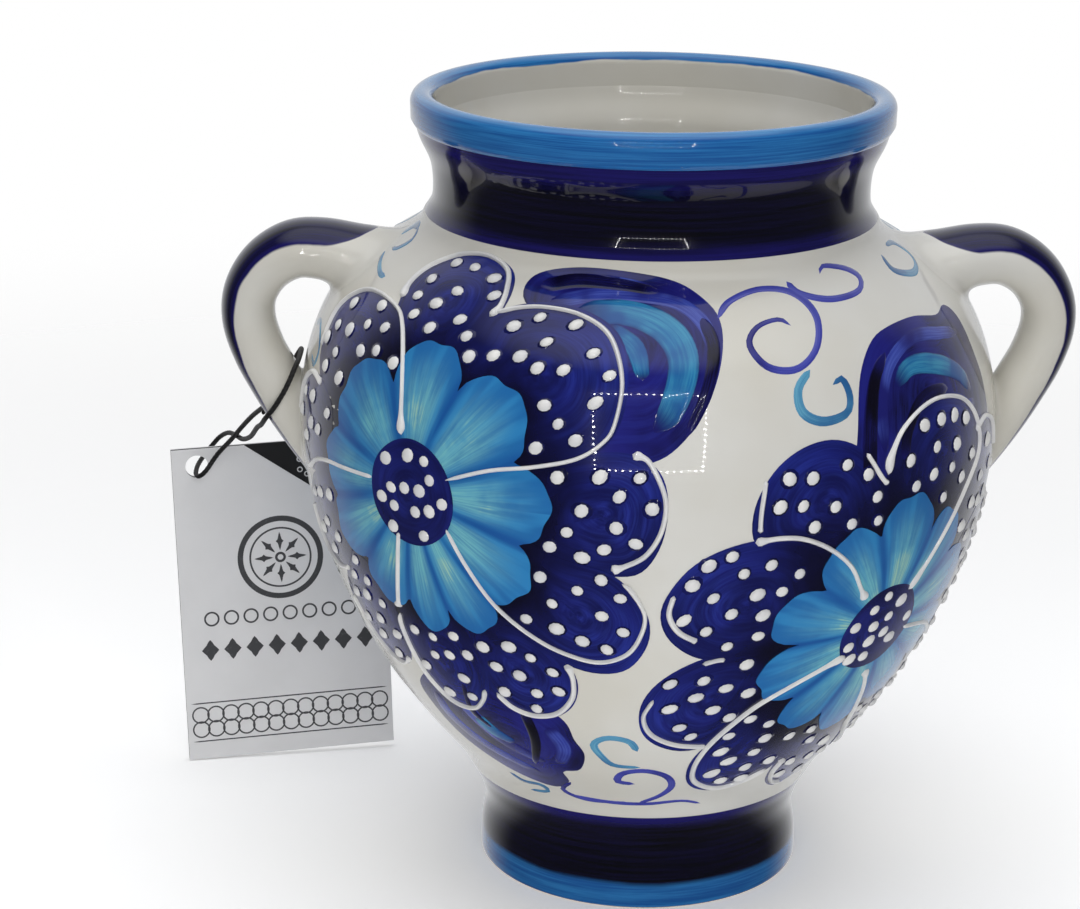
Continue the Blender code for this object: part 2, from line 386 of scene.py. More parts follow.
CORD_SIDES = 15


def carried_frames(line):
    """Two directions square to the line at each point, turned as little as possible."""
    along = np.gradient(line, axis=0)
    along /= np.linalg.norm(along, axis=1)[:, None]
    side = np.cross(along[0], (0.3, 0.2, 1.0))
    sides = []
    for direction in along:
        side = side - direction * np.dot(side, direction)
        side /= np.linalg.norm(side)
        sides.append(side)
    sides = np.array(sides)
    return sides, np.cross(along, sides)


def twisted_tube(work, line, radius):
    """A closed tube of plied cord along the line, with rounded ends."""
    first, second = carried_frames(line)
    reach = arc_lengths(line)
    count = len(line) - 1
    ends = np.sqrt(np.clip(np.minimum(reach, reach[-1] - reach) / radius, 0.0, 1.0))

    def place(u, v):
        at = round(u * count)
        turn = math.tau * v
        plies = math.cos(3.0 * (turn - math.tau * reach[at] / PLY_TURN))
        wide = radius * ends[at] * (1.0 - PLY_DEPTH * (0.5 - 0.5 * plies))
        return line[at] + wide * (first[at] * math.cos(turn) + second[at] * math.sin(turn)), plies

    wrap_grid(work, count, CORD_SIDES, place)


# %% Cord material
def make_cord_finish():
    made, tree, shader = new_material("waxed_cord", 0.55)
    place = object_place(tree)
    fibres = noise(tree, place, 2600.0, detail=3.0)
    # Painted shade and light: the cord's colour goes near black in the grooves between the plies
    # and lighter grey on their crests.
    painted_ply_shade = smooth_mask(tree, tone_value(tree), -0.9, 0.6)
    shade = mix_colour(tree, painted_ply_shade, srgb(6, 6, 7), srgb(34, 33, 34))
    shade = mix_colour(tree, smooth_mask(tree, fibres, 0.45, 0.75), shade, srgb(52, 51, 52))
    tree.links.new(shade, shader.inputs["Base Color"])
    tree.links.new(smooth_mask(tree, fibres, 0.3, 0.7, 0.42, 0.68), shader.inputs["Roughness"])
    add_bump(tree, shader, fibres, 0.35, 0.0001)
    return made


cord_finish = make_cord_finish()

# %% [markdown]
# An overhand knot is a trefoil whose ends run on as two short tails. The trefoil has a formula,
# so the knot is the same twisted tube along a computed line.

# %% Cord and knot pieces
def knot_line():
    """A tight overhand knot round KNOT_AT with two cut tails, in mm."""
    turns = np.linspace(0.28, math.tau - 0.28, 90)
    loop = np.stack([np.sin(turns) + 2 * np.sin(2 * turns),
                     np.cos(turns) - 2 * np.cos(2 * turns), -1.25 * np.sin(3 * turns)], axis=1)
    loop *= KNOT_SIZE
    head = loop[0] + np.array([(1.8, -2.2, 4.6), (0.9, -1.2, 2.2)]) * 0.8
    tail = loop[-1] + np.array([(-0.9, -1.2, -2.4), (-2.0, -2.4, -5.0)]) * 0.8
    return smooth_path([*head, *loop[::6], *tail], 6) + np.array(KNOT_AT)


def make_cord():
    line = even_path(smooth_path(CORD_ROUTE, 24), 400)
    work = new_mesh_work()
    twisted_tube(work, line, CORD_DIAMETER / 2)
    cord = finish_piece("waxed_cord_loop", work, "tag", cord_finish, "tag_cord",
                        sharp=80.0)
    knot_work = new_mesh_work()
    twisted_tube(knot_work, even_path(knot_line(), 130), CORD_DIAMETER * 0.44)
    knotted = finish_piece("cord_overhand_knot", knot_work, "tag", cord_finish,
                           "cord_knot", sharp=80.0)
    print("cord length in mm:", round(float(arc_lengths(line)[-1]), 1))


make_cord()

# %% [markdown]
# ## Glazes
#
# All the glazed pieces share one recipe: a colour with some pooling, a satin underglaze and a
# clear, very smooth coat on top. The bump goes to the underglaze only, weakly, because
# wet-looking highlights only need a slow waviness. Heights are in millimetres, measured from
# Object coordinates times 1000.

# %% Glaze recipe and the cream white
GLAZE_RELIEF = 0.0012


def glazed(name, roughness=0.22, bump=0.10, rings=1.0):
    """A glossy glaze with its bump in place; the caller adds the colour."""
    made, tree, shader = new_material(name, roughness, 1.0, 0.035)
    place = object_place(tree)
    surface = use_group(tree, glaze_group, {"Vector": place, "Rings": rings})
    add_bump(tree, shader, surface["Height"], bump, GLAZE_RELIEF)
    return made, tree, shader, place, surface


def set_colour(tree, shader, colour):
    tree.links.new(colour, shader.inputs["Base Color"])


CREAM = srgb(223, 222, 217)
CREAM_THIN = srgb(213, 210, 200)
NAVY = srgb(14, 12, 44)
NAVY_BLACK = srgb(6, 6, 16)
VIOLET_BLUE = srgb(28, 24, 100)
RIM_BLUE = srgb(46, 122, 186)
RIM_BLUE_DARK = srgb(28, 88, 158)
BUFF = srgb(201, 176, 146)


def cream_colour(tree, surface):
    """White tin glaze: a little warmer where it is thin, with tiny dark pinholes."""
    colour = mix_colour(tree, surface["Pooled"], CREAM_THIN, CREAM)
    return mix_colour(tree, surface["Pinhole"], colour, srgb(150, 134, 112))


def make_white_glaze():
    made, tree, shader, place, surface = glazed("white_glaze")
    set_colour(tree, shader, cream_colour(tree, surface))
    return made


white_glaze = make_white_glaze()

# %% [markdown]
# ## The turned body
#
# A wheel-thrown pot is a single outline spun round its axis. `bmesh.ops.spin` does exactly
# that: a chain of points along the wall's outer and inner side goes once round Z, and
# use_merge closes the last step on the first. The outline points are the few that a potter
# would mark on a template, joined by a smooth curve.

# %% Outlines of the foot, belly, neck and rim, in mm from the foot upwards
FOOT_TOP = 25.0
SHOULDER_TOP = 161.5
COLLAR_TOP = 182.0
RIM_HEIGHT = 190.0
RIM_RADIUS = 53.6
RIM_ROLL = 2.8
WALL = 6.0
NECK_WALL = 4.8
FLOOR_HEIGHT = 32.3
TURN_STEPS = 192
FOOT_SIDE = [(0.0, 38.4), (1.0, 39.1), (7.0, 38.9), (14.0, 38.0), (20.0, 39.6), (25.0, 42.3)]
FOOT_INSIDE = [(0.0, 34.2), (1.0, 33.4), (12.0, 31.0), (25.0, 29.5)]
BELLY_SIDE = [(25.0, 42.3), (31.0, 46.0), (42.0, 55.1), (57.0, 65.5), (76.0, 74.8),
              (95.0, 80.6), (114.0, 82.6), (129.0, 80.6), (142.5, 74.7), (152.0, 64.8),
              (158.0, 55.6), (161.5, 53.1)]
NECK_SIDE = [(161.5, 53.0), (165.5, 51.2), (173.0, 51.6), (179.0, 54.2), (182.0, 55.2)]

belly_line = smooth_path(BELLY_SIDE, 24)
belly_reach = arc_lengths(belly_line)
print("belly wall length from foot to neck in mm:", round(float(belly_reach[-1]), 1))


# %% Spin the four turned pieces
def spin_outline(outline, closed):
    """A bmesh of the (height, radius) outline turned once round Z."""
    work = new_mesh_work()
    chain = [work.verts.new((radius, 0.0, height)) for height, radius in outline]
    edges = [work.edges.new(pair) for pair in zip(chain, chain[1:])]
    if closed:
        edges.append(work.edges.new((chain[-1], chain[0])))
    bmesh.ops.spin(work, geom=chain + edges, cent=(0, 0, 0), axis=(0, 0, 1), angle=math.tau,
                   steps=TURN_STEPS, use_merge=True)
    bmesh.ops.remove_doubles(work, verts=work.verts[:], dist=MERGE)
    return work


def foot_outline():
    outer = smooth_path(FOOT_SIDE, 6)
    inner = smooth_path(FOOT_INSIDE, 5)[::-1]
    return [*outer, *inner]


def belly_outline():
    outer = smooth_path(BELLY_SIDE, 8)
    inner = []
    for height, radius in smooth_path(BELLY_SIDE, 5)[::-1]:
        thinning = max(0.0, (height - 145.0) / (SHOULDER_TOP - 145.0))
        if height > FLOOR_HEIGHT + 6.0:
            inner.append((height, radius - WALL + (WALL - NECK_WALL) * thinning ** 2))
    floor = smooth_path([inner[-1], (FLOOR_HEIGHT + 2.2, 39.0), (FLOOR_HEIGHT + 0.3, 28.0),
                         (FLOOR_HEIGHT, 0.0)], 6)[1:]
    return [(FOOT_TOP, 0.0), *outer, *inner, *floor]


def neck_outline():
    outer = smooth_path(NECK_SIDE, 8)
    inner = [(height, radius - NECK_WALL) for height, radius in outer[::-1]]
    return [*outer, *inner]


def rim_outline():
    outline = [(COLLAR_TOP, NECK_SIDE[-1][1] - NECK_WALL)]
    for step in range(25):
        angle = math.pi * step / 24
        outline.append((RIM_HEIGHT - RIM_ROLL + RIM_ROLL * math.sin(angle),
                        RIM_RADIUS - RIM_ROLL * math.cos(angle)))
    outline.append((COLLAR_TOP + 1.6, 56.3))
    outline.append((COLLAR_TOP + 0.5, 55.7))
    outline.append((COLLAR_TOP, NECK_SIDE[-1][1]))
    return outline


finish_piece("belly_turned", spin_outline(belly_outline(), False), "vase",
             white_glaze, "belly")

# %% [markdown]
# ### Foot, neck and rim colours
#
# The foot and the neck are banded on the wheel with a loaded brush: almost black where the
# navy lies thick and violet where it is thin, near the edges of each band. The rim has a mid
# blue that carries just over the lip. The bands follow height and distance from the axis, so
# their masks come from Object coordinates.

# %% Banded glazes
def wheel_place(tree, place):
    """Height and distance from the axis in mm, and a vector that runs round the wheel."""
    big = node(tree, "ShaderNodeVectorMath", {0: place, "Scale": 1.0 / MM}, operation="SCALE")
    split = separated(tree, big.outputs[0])
    flat = combined(tree, split[0], split[1])
    distance = node(tree, "ShaderNodeVectorMath", {0: flat}, operation="LENGTH")
    direction = node(tree, "ShaderNodeVectorMath", {0: flat}, operation="NORMALIZE")
    side = separated(tree, direction.outputs[0])
    return split[2], distance.outputs["Value"], combined(tree, side[0], split[2], side[1])


def band_streaks(tree, turning, across=1.1, along=1.4):
    """Streaks that follow the wheel: long round the axis, fine across the height."""
    spread = stretched(tree, turning, (along, across, along))
    fine = noise(tree, spread, 1.0, detail=5.0, roughness=0.6)
    return smooth_mask(tree, fine, 0.33, 0.68)


def edge_mask(tree, place, value, edge, waver, soft):
    return use_group(tree, edge_group, {"Vector": place, "Value": value, "Edge": edge,
                                        "Waver": waver, "Soft": soft})["Mask"]


def make_neck_glaze():
    made, tree, shader, place, surface = glazed("navy_neck_glaze", 0.16, bump=0.06, rings=0.6)
    height, distance, turning = wheel_place(tree, place)
    streak = band_streaks(tree, turning)
    navy = mix_colour(tree, streak, NAVY_BLACK, NAVY)
    top = edge_mask(tree, place, height, 177.5, 2.0, 2.6)
    low = minus(tree, 1.0, edge_mask(tree, place, height, 163.6, 1.6, 1.6))
    thin = math_node(tree, "MAXIMUM", top, low)
    thin = times(tree, thin, smooth_mask(tree, streak, 0.0, 1.0, 0.55, 1.0))
    navy = mix_colour(tree, thin, navy, VIOLET_BLUE)
    outside = edge_mask(tree, place, distance, 50.8, 0.0, 0.05)
    set_colour(tree, shader, mix_colour(tree, outside, cream_colour(tree, surface), navy))
    return made


def make_rim_glaze():
    made, tree, shader, place, surface = glazed("blue_rim_glaze", 0.2, bump=0.06, rings=0.4)
    height, distance, turning = wheel_place(tree, place)
    streak = band_streaks(tree, turning, across=2.4, along=2.2)
    blue = mix_colour(tree, streak, RIM_BLUE_DARK, RIM_BLUE)
    pale = smooth_mask(tree, height, RIM_HEIGHT - 1.2, RIM_HEIGHT - 0.2)
    blue = mix_colour(tree, times(tree, pale, 0.35), blue, srgb(108, 170, 214))
    lip = minus(tree, height, RIM_HEIGHT - 1.6)
    painted = math_node(tree, "MAXIMUM", lip, minus(tree, distance, 52.0))
    outside = edge_mask(tree, place, painted, 0.0, 2.4, 0.2)
    set_colour(tree, shader, mix_colour(tree, outside, cream_colour(tree, surface), blue))
    return made


def make_foot_glaze():
    made, tree, shader, place, surface = glazed("navy_foot_glaze", 0.16, bump=0.06, rings=0.6)
    height, distance, turning = wheel_place(tree, place)
    streak = band_streaks(tree, turning)
    navy = mix_colour(tree, streak, NAVY_BLACK, NAVY)
    thin = edge_mask(tree, place, height, 22.6, 1.4, 1.8)
    navy = mix_colour(tree, thin, navy, VIOLET_BLUE)
    blue = mix_colour(tree, streak, RIM_BLUE_DARK, RIM_BLUE)
    base = minus(tree, 1.0, edge_mask(tree, place, height, 6.2, 1.6, 0.9))
    painted = mix_colour(tree, base, navy, blue)
    outside = edge_mask(tree, place, distance, 36.4, 0.6, 0.15)
    above = smooth_mask(tree, height, 0.15, 0.5)
    glazed_part = times(tree, outside, above)
    grain = noise(tree, place, 900.0, detail=3.0)
    bare = mix_colour(tree, smooth_mask(tree, grain, 0.3, 0.7), BUFF, srgb(178, 150, 120))
    set_colour(tree, shader, mix_colour(tree, glazed_part, bare, painted))
    tree.links.new(glazed_part, shader.inputs["Coat Weight"])
    tree.links.new(smooth_mask(tree, glazed_part, 0.0, 1.0, 0.85, 0.16),
                   shader.inputs["Roughness"])
    return made


finish_piece("foot_turned", spin_outline(foot_outline(), True), "vase",
             make_foot_glaze(), "foot_ring")
finish_piece("neck_turned", spin_outline(neck_outline(), True), "vase",
             make_neck_glaze(), "neck_collar")
finish_piece("rim_turned", spin_outline(rim_outline(), True), "vase",
             make_rim_glaze(), "rolled_rim")

# %% [markdown]
# ## Strap handles
#
# Each handle is a pulled strap of clay, luted on at the shoulder and low on the belly. It is a
# tube of oval section along a smooth ear-shaped line. At both ends every line of the strap is
# followed until it meets the belly, and a short quadratic curve turns it into the belly's
# surface, which gives the soft fillet that wet slip leaves there.

# %% Handle shape
HANDLE_LINE = [(57.0, 147.5, 8.2), (68.0, 149.2, 7.9), (77.0, 151.4, 7.2), (84.0, 151.2, 6.9),
               (90.3, 147.4, 6.6), (94.2, 141.2, 6.4), (94.8, 134.5, 6.35), (92.6, 127.0, 6.3),
               (89.0, 120.0, 6.3), (85.0, 112.6, 6.0), (80.6, 105.0, 5.4), (76.0, 98.0, 4.8)]
STRAP_WIDTH_RATIO = 1.42
STRAP_SIDES = 48
STRAP_STEPS = 84
FILLET = 3.6
FILLET_STEPS = 7


def nearest_on_belly(spot, sink=0.0):
    """The closest point of the belly's outer side to spot, pushed sink mm into the clay."""
    distance = math.hypot(spot[0], spot[1])
    gap = np.hypot(belly_line[:, 0] - spot[2], belly_line[:, 1] - distance)
    at = int(np.argmin(gap))
    at = min(max(at, 1), len(belly_line) - 2)
    slope = belly_line[at + 1] - belly_line[at - 1]
    slope /= np.linalg.norm(slope)
    offset = np.dot(np.array([spot[2], distance]) - belly_line[at], slope)
    height, radius = belly_line[at] + slope * offset
    height += sink * slope[1]
    radius -= sink * slope[0]
    return np.array([spot[0] / distance * radius, spot[1] / distance * radius, height])


def strap_column(line, turn):
    """One lengthwise line of the strap at section angle turn, fillets and sunk ends included."""
    centre = np.stack([line[:, 0], np.zeros(len(line)), line[:, 1]], axis=1)
    tangent = np.gradient(centre, axis=0)
    tangent /= np.linalg.norm(tangent, axis=1)[:, None]
    outward = np.stack([-tangent[:, 2], np.zeros(len(line)), tangent[:, 0]], axis=1)
    offset = outward * (line[:, 2] * math.cos(turn))[:, None]
    offset[:, 1] += line[:, 2] * STRAP_WIDTH_RATIO * math.sin(turn)
    wall = centre + offset
    surface_radius = np.interp(wall[:, 2], belly_line[:, 0], belly_line[:, 1])
    clear = np.hypot(wall[:, 0], wall[:, 1]) - surface_radius
    outside = np.flatnonzero(clear > 0.0)
    first, last = int(outside[0]), int(outside[-1])
    first_at = first - clear[first] / (clear[first] - clear[first - 1])
    last_at = last + clear[last] / (clear[last] - clear[last + 1])
    step = np.linalg.norm(centre[1] - centre[0])
    index = np.arange(len(line))

    def at(where):
        return np.array([np.interp(where, index, wall[:, k]) for k in range(3)])

    def fillet(meets, sign):
        corner = at(meets)
        side = np.array([np.interp(meets, index, offset[:, k]) for k in range(3)])
        away = side / np.linalg.norm(side)
        start = at(meets + sign * FILLET / step)
        end = nearest_on_belly(corner + away * FILLET)
        bend = []
        for number in range(FILLET_STEPS):
            t = number / FILLET_STEPS
            bend.append((1 - t) ** 2 * start + 2 * (1 - t) * t * corner + t * t * end)
        bend.append(nearest_on_belly(end, -0.01))
        bend.append(nearest_on_belly(end, 0.9))
        return bend

    upper = fillet(first_at, 1.0)[::-1]
    lower = fillet(last_at, -1.0)
    inside_line = np.linspace(first_at + FILLET / step, last_at - FILLET / step, STRAP_STEPS + 1)
    return [*upper, *[at(w) for w in inside_line[1:-1]], *lower]


def make_handle(name, side, node_name, finish):
    line = even_path(smooth_path(HANDLE_LINE, 24), 420)
    columns = []
    for number in range(STRAP_SIDES):
        columns.append(strap_column(line, math.tau * (number / STRAP_SIDES - 0.5)))
    steps = len(columns[0]) - 1
    work = new_mesh_work()

    def place(u, v):
        spot = columns[round(v * STRAP_SIDES) % STRAP_SIDES][round(u * steps)]
        return (side * spot[0], spot[1], spot[2]), u

    wrap_grid(work, steps, STRAP_SIDES, place)
    rims = [edge for edge in work.edges if edge.is_boundary]
    bmesh.ops.holes_fill(work, edges=rims)
    finish_piece(name, work, "vase", finish, node_name)


# %% [markdown]
# ### The handle's painted stripe
#
# A wide brush ran down the outer face of each strap, so the stripe follows the strap and not
# the room. The grid's UVs know both directions: U runs from the shoulder to the lower root and
# V once round the section, with 0.5 on the outermost line.

# %% Handle glaze
def make_handle_glaze():
    made, tree, shader, place, surface = glazed("handle_glaze", 0.2, bump=0.07, rings=0.2)
    split = separated(tree, wrap_place(tree))
    turn = math_node(tree, "ABSOLUTE", minus(tree, split[1], 0.5))
    waver = times(tree, minus(tree, noise(tree, place, 60.0), 0.5), 0.05)
    turn = math_node(tree, "ADD", turn, waver)
    half_width = smooth_mask(tree, split[0], 0.45, 0.92, 0.19, 0.115)
    start = smooth_mask(tree, split[0], 0.10, 0.19)
    edge = times(tree, half_width, math_node(tree, "POWER", start, 0.5))
    inside = minus(tree, edge, turn)
    stripe = smooth_mask(tree, inside, -0.006, 0.010)
    spread = stretched(tree, combined(tree, split[0], split[1]), (2.5, 42.0, 1.0))
    streak = smooth_mask(tree, noise(tree, spread, 1.0, detail=4.0, roughness=0.6), 0.33, 0.68)
    navy = mix_colour(tree, streak, NAVY_BLACK, srgb(20, 18, 72))
    thin = smooth_mask(tree, inside, 0.05, 0.0)
    navy = mix_colour(tree, times(tree, thin, 0.75), navy, VIOLET_BLUE)
    set_colour(tree, shader, mix_colour(tree, stripe, cream_colour(tree, surface), navy))
    return made


handle_glaze = make_handle_glaze()
make_handle("handle_right_strap", 1.0, "handle_right", handle_glaze)
make_handle("handle_left_strap", -1.0, "handle_left", handle_glaze)

# %% [markdown]
# ## Painting on a curved wall
#
# The painter works on the belly as if on paper: so many millimetres across and so many up. The
# next helper turns such flat places into places on the clay. `home` says where the paper is
# held: its heading round the pot and how far up the wall its middle lies. Paint lies a few
# hundredths of a millimetre proud of the clay, slip nearly a millimetre.

# %% From flat paper to the belly's wall
belly_slope = np.gradient(belly_line, axis=0)
belly_slope /= np.linalg.norm(belly_slope, axis=1)[:, None]
EQUATOR = float(np.interp(114.0, belly_line[:, 0], belly_reach))


def on_belly(a, b, lift, home):
    """The place in mm of a point a mm across, b mm up and lift mm above the clay."""
    heading, middle = home
    reach = middle + b
    height = np.interp(reach, belly_reach, belly_line[:, 0])
    radius = np.interp(reach, belly_reach, belly_line[:, 1])
    rise = np.interp(reach, belly_reach, belly_slope[:, 0])
    spread = np.interp(reach, belly_reach, belly_slope[:, 1])
    turn = heading + a / radius
    radius += lift * rise
    height -= lift * spread
    return np.array([radius * math.sin(turn), -radius * math.cos(turn), height])


SIDES = [("front", 0.0), ("back", math.pi)]
FLOWER_HOMES = {"high": (math.radians(-40.4), 97.9), "low": (math.radians(42.2), 64.1)}
print("equator at", round(EQUATOR, 1), "mm up the wall")

# %% [markdown]
# ### Patches, strokes and dots
#
# Three shapes make the whole painting. A patch is a filled outline: the grid's U runs round the
# outline and V from its middle to its edge, down the edge and back underneath, so the film of
# colour is closed. A stroke is a grid rolled into a flat tube along a path, with a width at
# each point, which serves for slip trails, tendrils and broad brush marks. A dot is a
# small sphere pressed flat.

# %% Patch, stroke and dot
UNDER = 0.3             # mm that every painted shape reaches into the clay
PATCH_ROWS = 12


def patch(work, outline, middle, lift, where, tone=None, count=60):
    """A closed film over the area inside outline, all in flat mm; where(a, b, lift) places it."""
    line = even_path(smooth_path(outline, 10, closed=True), count + 1)
    centre = np.array(middle, float)

    def place(u, v):
        row = round(v * (PATCH_ROWS + 2))
        share = min(row / PATCH_ROWS, 1.0)
        height = lift if row <= PATCH_ROWS else -UNDER
        if row == PATCH_ROWS + 2:
            share = 0.0
        edge = line[round(u * count) % count]
        a, b = centre + (edge - centre) * share
        return where(a, b, height), (tone(a, b) if tone else share)

    wrap_grid(work, count, PATCH_ROWS + 2, place)


def stroke_widths(count, width, start=0.0, end=0.0, blunt=1.0):
    """Half widths along a stroke: rounded ends, and a fuller drop at its start or end."""
    share = np.linspace(0.0, 1.0, count)
    ends = np.sqrt(np.clip(np.minimum(share, 1.0 - share) / 0.035 * blunt, 0.0, 1.0))
    half = np.full(count, width / 2)
    half += start * np.exp(-(share / 0.045) ** 2) + end * np.exp(-((1 - share) / 0.045) ** 2)
    return half * ends


def stroke(work, points, half_widths, lift, where, step=1.3, sides=10, round_top=None, seed=0.0):
    """A closed ribbon or bead along points; round_top is its height as a share of its width."""
    line = smooth_path(points, 10)
    count = max(8, round(arc_lengths(line)[-1] / step))
    line = even_path(line, count + 1)
    along = np.gradient(line, axis=0)
    along /= np.linalg.norm(along, axis=1)[:, None]
    across = np.stack([-along[:, 1], along[:, 0]], axis=1)
    half = np.interp(np.linspace(0, 1, count + 1), np.linspace(0, 1, len(half_widths)),
                     half_widths)
    half[0] = 0.0
    half[-1] = 0.0
    length = arc_lengths(line)[-1]

    def place(u, v):
        at = round(u * count)
        turn = math.tau * v
        wide = half[at]
        a, b = line[at] + across[at] * wide * math.cos(turn)
        top = lift if round_top is None else lift + round_top * wide
        up = top * math.sin(turn) if math.sin(turn) > 0.0 else UNDER * math.sin(turn)
        return where(a, b, up if wide > 0.0 else 0.0), u * length + seed

    wrap_grid(work, count, sides, place)


def make_dot_template():
    """A unit sphere of a few dozen faces, made once and copied for each dot."""
    work = bmesh.new()
    bmesh.ops.create_uvsphere(work, u_segments=10, v_segments=6, radius=1.0)
    mesh = bpy.data.meshes.new("dot_template")
    work.to_mesh(mesh)
    work.free()
    return mesh


dot_template = make_dot_template()


def dot(work, a, b, size, height, where, rng, tone=0.5):
    """A drop of slip: a small sphere, pressed flat and slightly drawn out."""
    tone_layer = work.verts.layers.float["tone"]
    first = len(work.verts)
    work.from_mesh(dot_template)
    work.verts.ensure_lookup_table()
    stretch = rng.uniform(1.0, 1.28)
    lean = rng.uniform(-0.2, 0.9)
    for vert in work.verts[first:]:
        x = vert.co.x * stretch
        y = vert.co.y
        across = x * math.cos(lean) - y * math.sin(lean)
        upward = x * math.sin(lean) + y * math.cos(lean)
        up = vert.co.z * (height if vert.co.z > 0.0 else UNDER)
        vert[tone_layer] = tone
        vert.co = where(a + across * size, b + upward * size, up)


# %% [markdown]
# ### The two flower designs
#
# Each flower is drawn once, round its own centre, as flat outlines: ten cobalt lobes, one
# turquoise rosette whose petals are rounded tips between narrow notches, an eye, and the slip
# trails that were squeezed over the lobes. The painter repeats both flowers on the back, so a
# little seeded looseness keeps the copies from being twins.

# %% Outlines of the flowers, in mm round each flower's centre
HIGH_LOBES = [
    [(-8, 22), (-13, 35), (-20, 39.5), (-29, 40), (-37, 38), (-43, 33), (-46.5, 25), (-44, 18),
     (-37, 14), (-26, 14)],
    [(26, -5), (29, 9), (40, 13.5), (50, 14.5), (57, 11), (59.7, 4), (58.5, -5), (54, -12),
     (48, -13.5), (38, -12)],
    [(-32, -3), (-31, 10), (-38, 15), (-46, 16), (-53, 12), (-57, 5), (-55, -3), (-48, -7),
     (-39, -6)],
    [(-14, -26), (-12, -38), (-13, -48), (-18, -52.5), (-25, -51), (-32, -46), (-35.5, -38),
     (-33, -30), (-26, -22)],
    [(12, -28), (24, -28), (31, -34), (34, -42), (31.5, -50), (26, -55.5), (19, -57.5),
     (12.5, -53.5), (9.5, -46), (9, -36)],
    [(-12, 27), (-17, 36), (-20, 44), (-18.5, 51.5), (-12.5, 57), (-3, 59), (5.5, 56),
     (9.7, 49.5), (10.5, 42), (9, 33), (3, 25)],
    [(-29, -2), (-38, -5), (-46, -9), (-50.5, -17), (-46, -26), (-38, -30), (-30, -27),
     (-25, -18)],
    [(-7, -28), (-12, -38), (-11.7, -47), (-8.5, -54.5), (-2.5, -60), (4, -59), (8.5, -54.5),
     (11.5, -47), (11, -38), (6, -28)],
    [(24, -6), (36, -10), (46, -12.5), (51, -17), (53.7, -24), (52, -31.5), (46, -38.5),
     (38, -40), (30, -36.5), (22, -29), (19, -20)],
    [(4, 24), (9, 36), (9.5, 43), (14, 46.5), (21, 48), (30, 46.2), (38.5, 41.5), (44.5, 34),
     (47.3, 25), (46, 17), (40, 12), (29, 8), (18, 8)]]
HIGH_TIPS = [(90, 33.5), (46, 34.5), (3, 34.5), (-33, 33.5), (-64, 35.5), (-90, 35.5),
             (-113, 34), (-145, 34), (-182, 33), (-229, 33)]
HIGH_NOTCHES = [(69, 28), (22, 28.5), (-16, 29.5), (-52, 32), (-78, 31.5), (-101, 30),
                (-131, 29), (-164, 31), (-197, 30), (-247, 25)]
HIGH_TRAILS = [
    ([(-46, 22), (-44, 32), (-36, 38.5), (-27, 40), (-18, 38.5), (-13, 35), (-9, 29), (-6, 21),
      (-4, 11.5)], 0.0, 1.3),
    ([(-19, 41), (-19.5, 46), (-17, 52), (-11, 57), (-3, 58.5), (4, 56), (8, 50), (9.5, 45),
      (8.5, 42)], 1.2, 0.9),
    ([(9, 43), (14, 45.5), (20, 46.5), (28, 45.5), (36, 41.5), (42, 35), (45.5, 28), (46, 20),
      (44, 16), (39, 12.5), (30, 10), (20, 8), (9, 4)], 0.3, 0.0),
    ([(51, 14.3), (55, 12.5), (59, 5), (58.5, -2), (55, -8), (50, -11), (47, -12)], 0.9, 1.1),
    ([(9, -7), (14, -16), (20, -25), (28, -32), (35, -35.5), (41, -36.5), (47, -34), (51, -29),
      (53, -23), (51, -17), (49, -15)], 0.0, 0.3),
    ([(12, -51), (15, -55), (20, -56.5), (26, -54.5), (31, -49), (33, -43), (33, -38)], 0, 0.9),
    ([(-5, -11), (-7, -20), (-9.5, -29), (-10.5, -32)], 0.0, 1.2),
    ([(-10.8, -34), (-11.5, -38), (-10.5, -47), (-8, -54), (-3, -59), (3, -59), (7, -55),
      (9, -51)], 0.0, 0.2),
    ([(-13, 0), (-25, -0.8), (-33, -1.5), (-41, -3.5), (-47, -7)], 0.0, 0.4),
    ([(-34, -37), (-30, -45), (-24, -50.5), (-18, -52), (-14, -49)], 0.0, 0.8),
    ([(-57, 4), (-55, 11), (-48, 15.5), (-40, 15)], 0.3, 0.5),
    ([(-50, -17), (-46, -25.5), (-38, -29.5), (-30, -28)], 0.3, 0.5)]
LOW_LOBES = [
    [(-6, 20), (-6, 32), (-9, 40), (-14, 46), (-21, 49), (-29, 48), (-36, 43.5), (-40.5, 36),
     (-40, 28), (-33, 24), (-20, 20)],
    [(-24, 4), (-26, -2), (-36, 0.5), (-46, -2), (-52.5, -8), (-54, -16), (-50.5, -25),
     (-44, -31), (-36, -33), (-30, -28), (-24, -15)],
    [(-4, -24), (-9, -38), (-8, -47), (-5, -54.5), (1, -58.5), (8, -55.5), (12.5, -47),
     (11, -38), (5, -24)],
    [(22, -4), (24, -20), (32, -30), (42, -32.5), (50, -27.5), (53.5, -18), (49, -9), (38, -3)],
    [(15, 18), (27, 13), (38, 17), (45.5, 25), (47.5, 33), (43.5, 40.5), (36, 43.5), (28, 42),
     (21, 32)],
    [(-6, 22), (-7.5, 38), (-4, 45.5), (2, 50.5), (10, 53.5), (19, 52.5), (27, 48.5),
     (31.5, 41), (30.5, 33), (24, 26), (12, 22)],
    [(-20, 4), (-20, 16), (-26, 25), (-35, 28.5), (-46, 27), (-54, 22), (-58, 13), (-55, 5),
     (-47, -1), (-38, -2), (-28, 0)],
    [(-14, -12), (-24, -15), (-30, -24), (-33.5, -35), (-31, -45), (-25, -51.5), (-17, -53),
     (-10.5, -48.5), (-7.5, -40), (-8, -28)],
    [(5, -24), (12, -40), (17, -50), (25, -53.5), (32, -48.5), (35.5, -39), (32, -29),
     (20, -18)],
    [(25, 10), (25, -6), (38, -7), (48, -5), (55.5, 2), (57.5, 11), (52.5, 19), (42, 22.5),
     (31, 18)]]
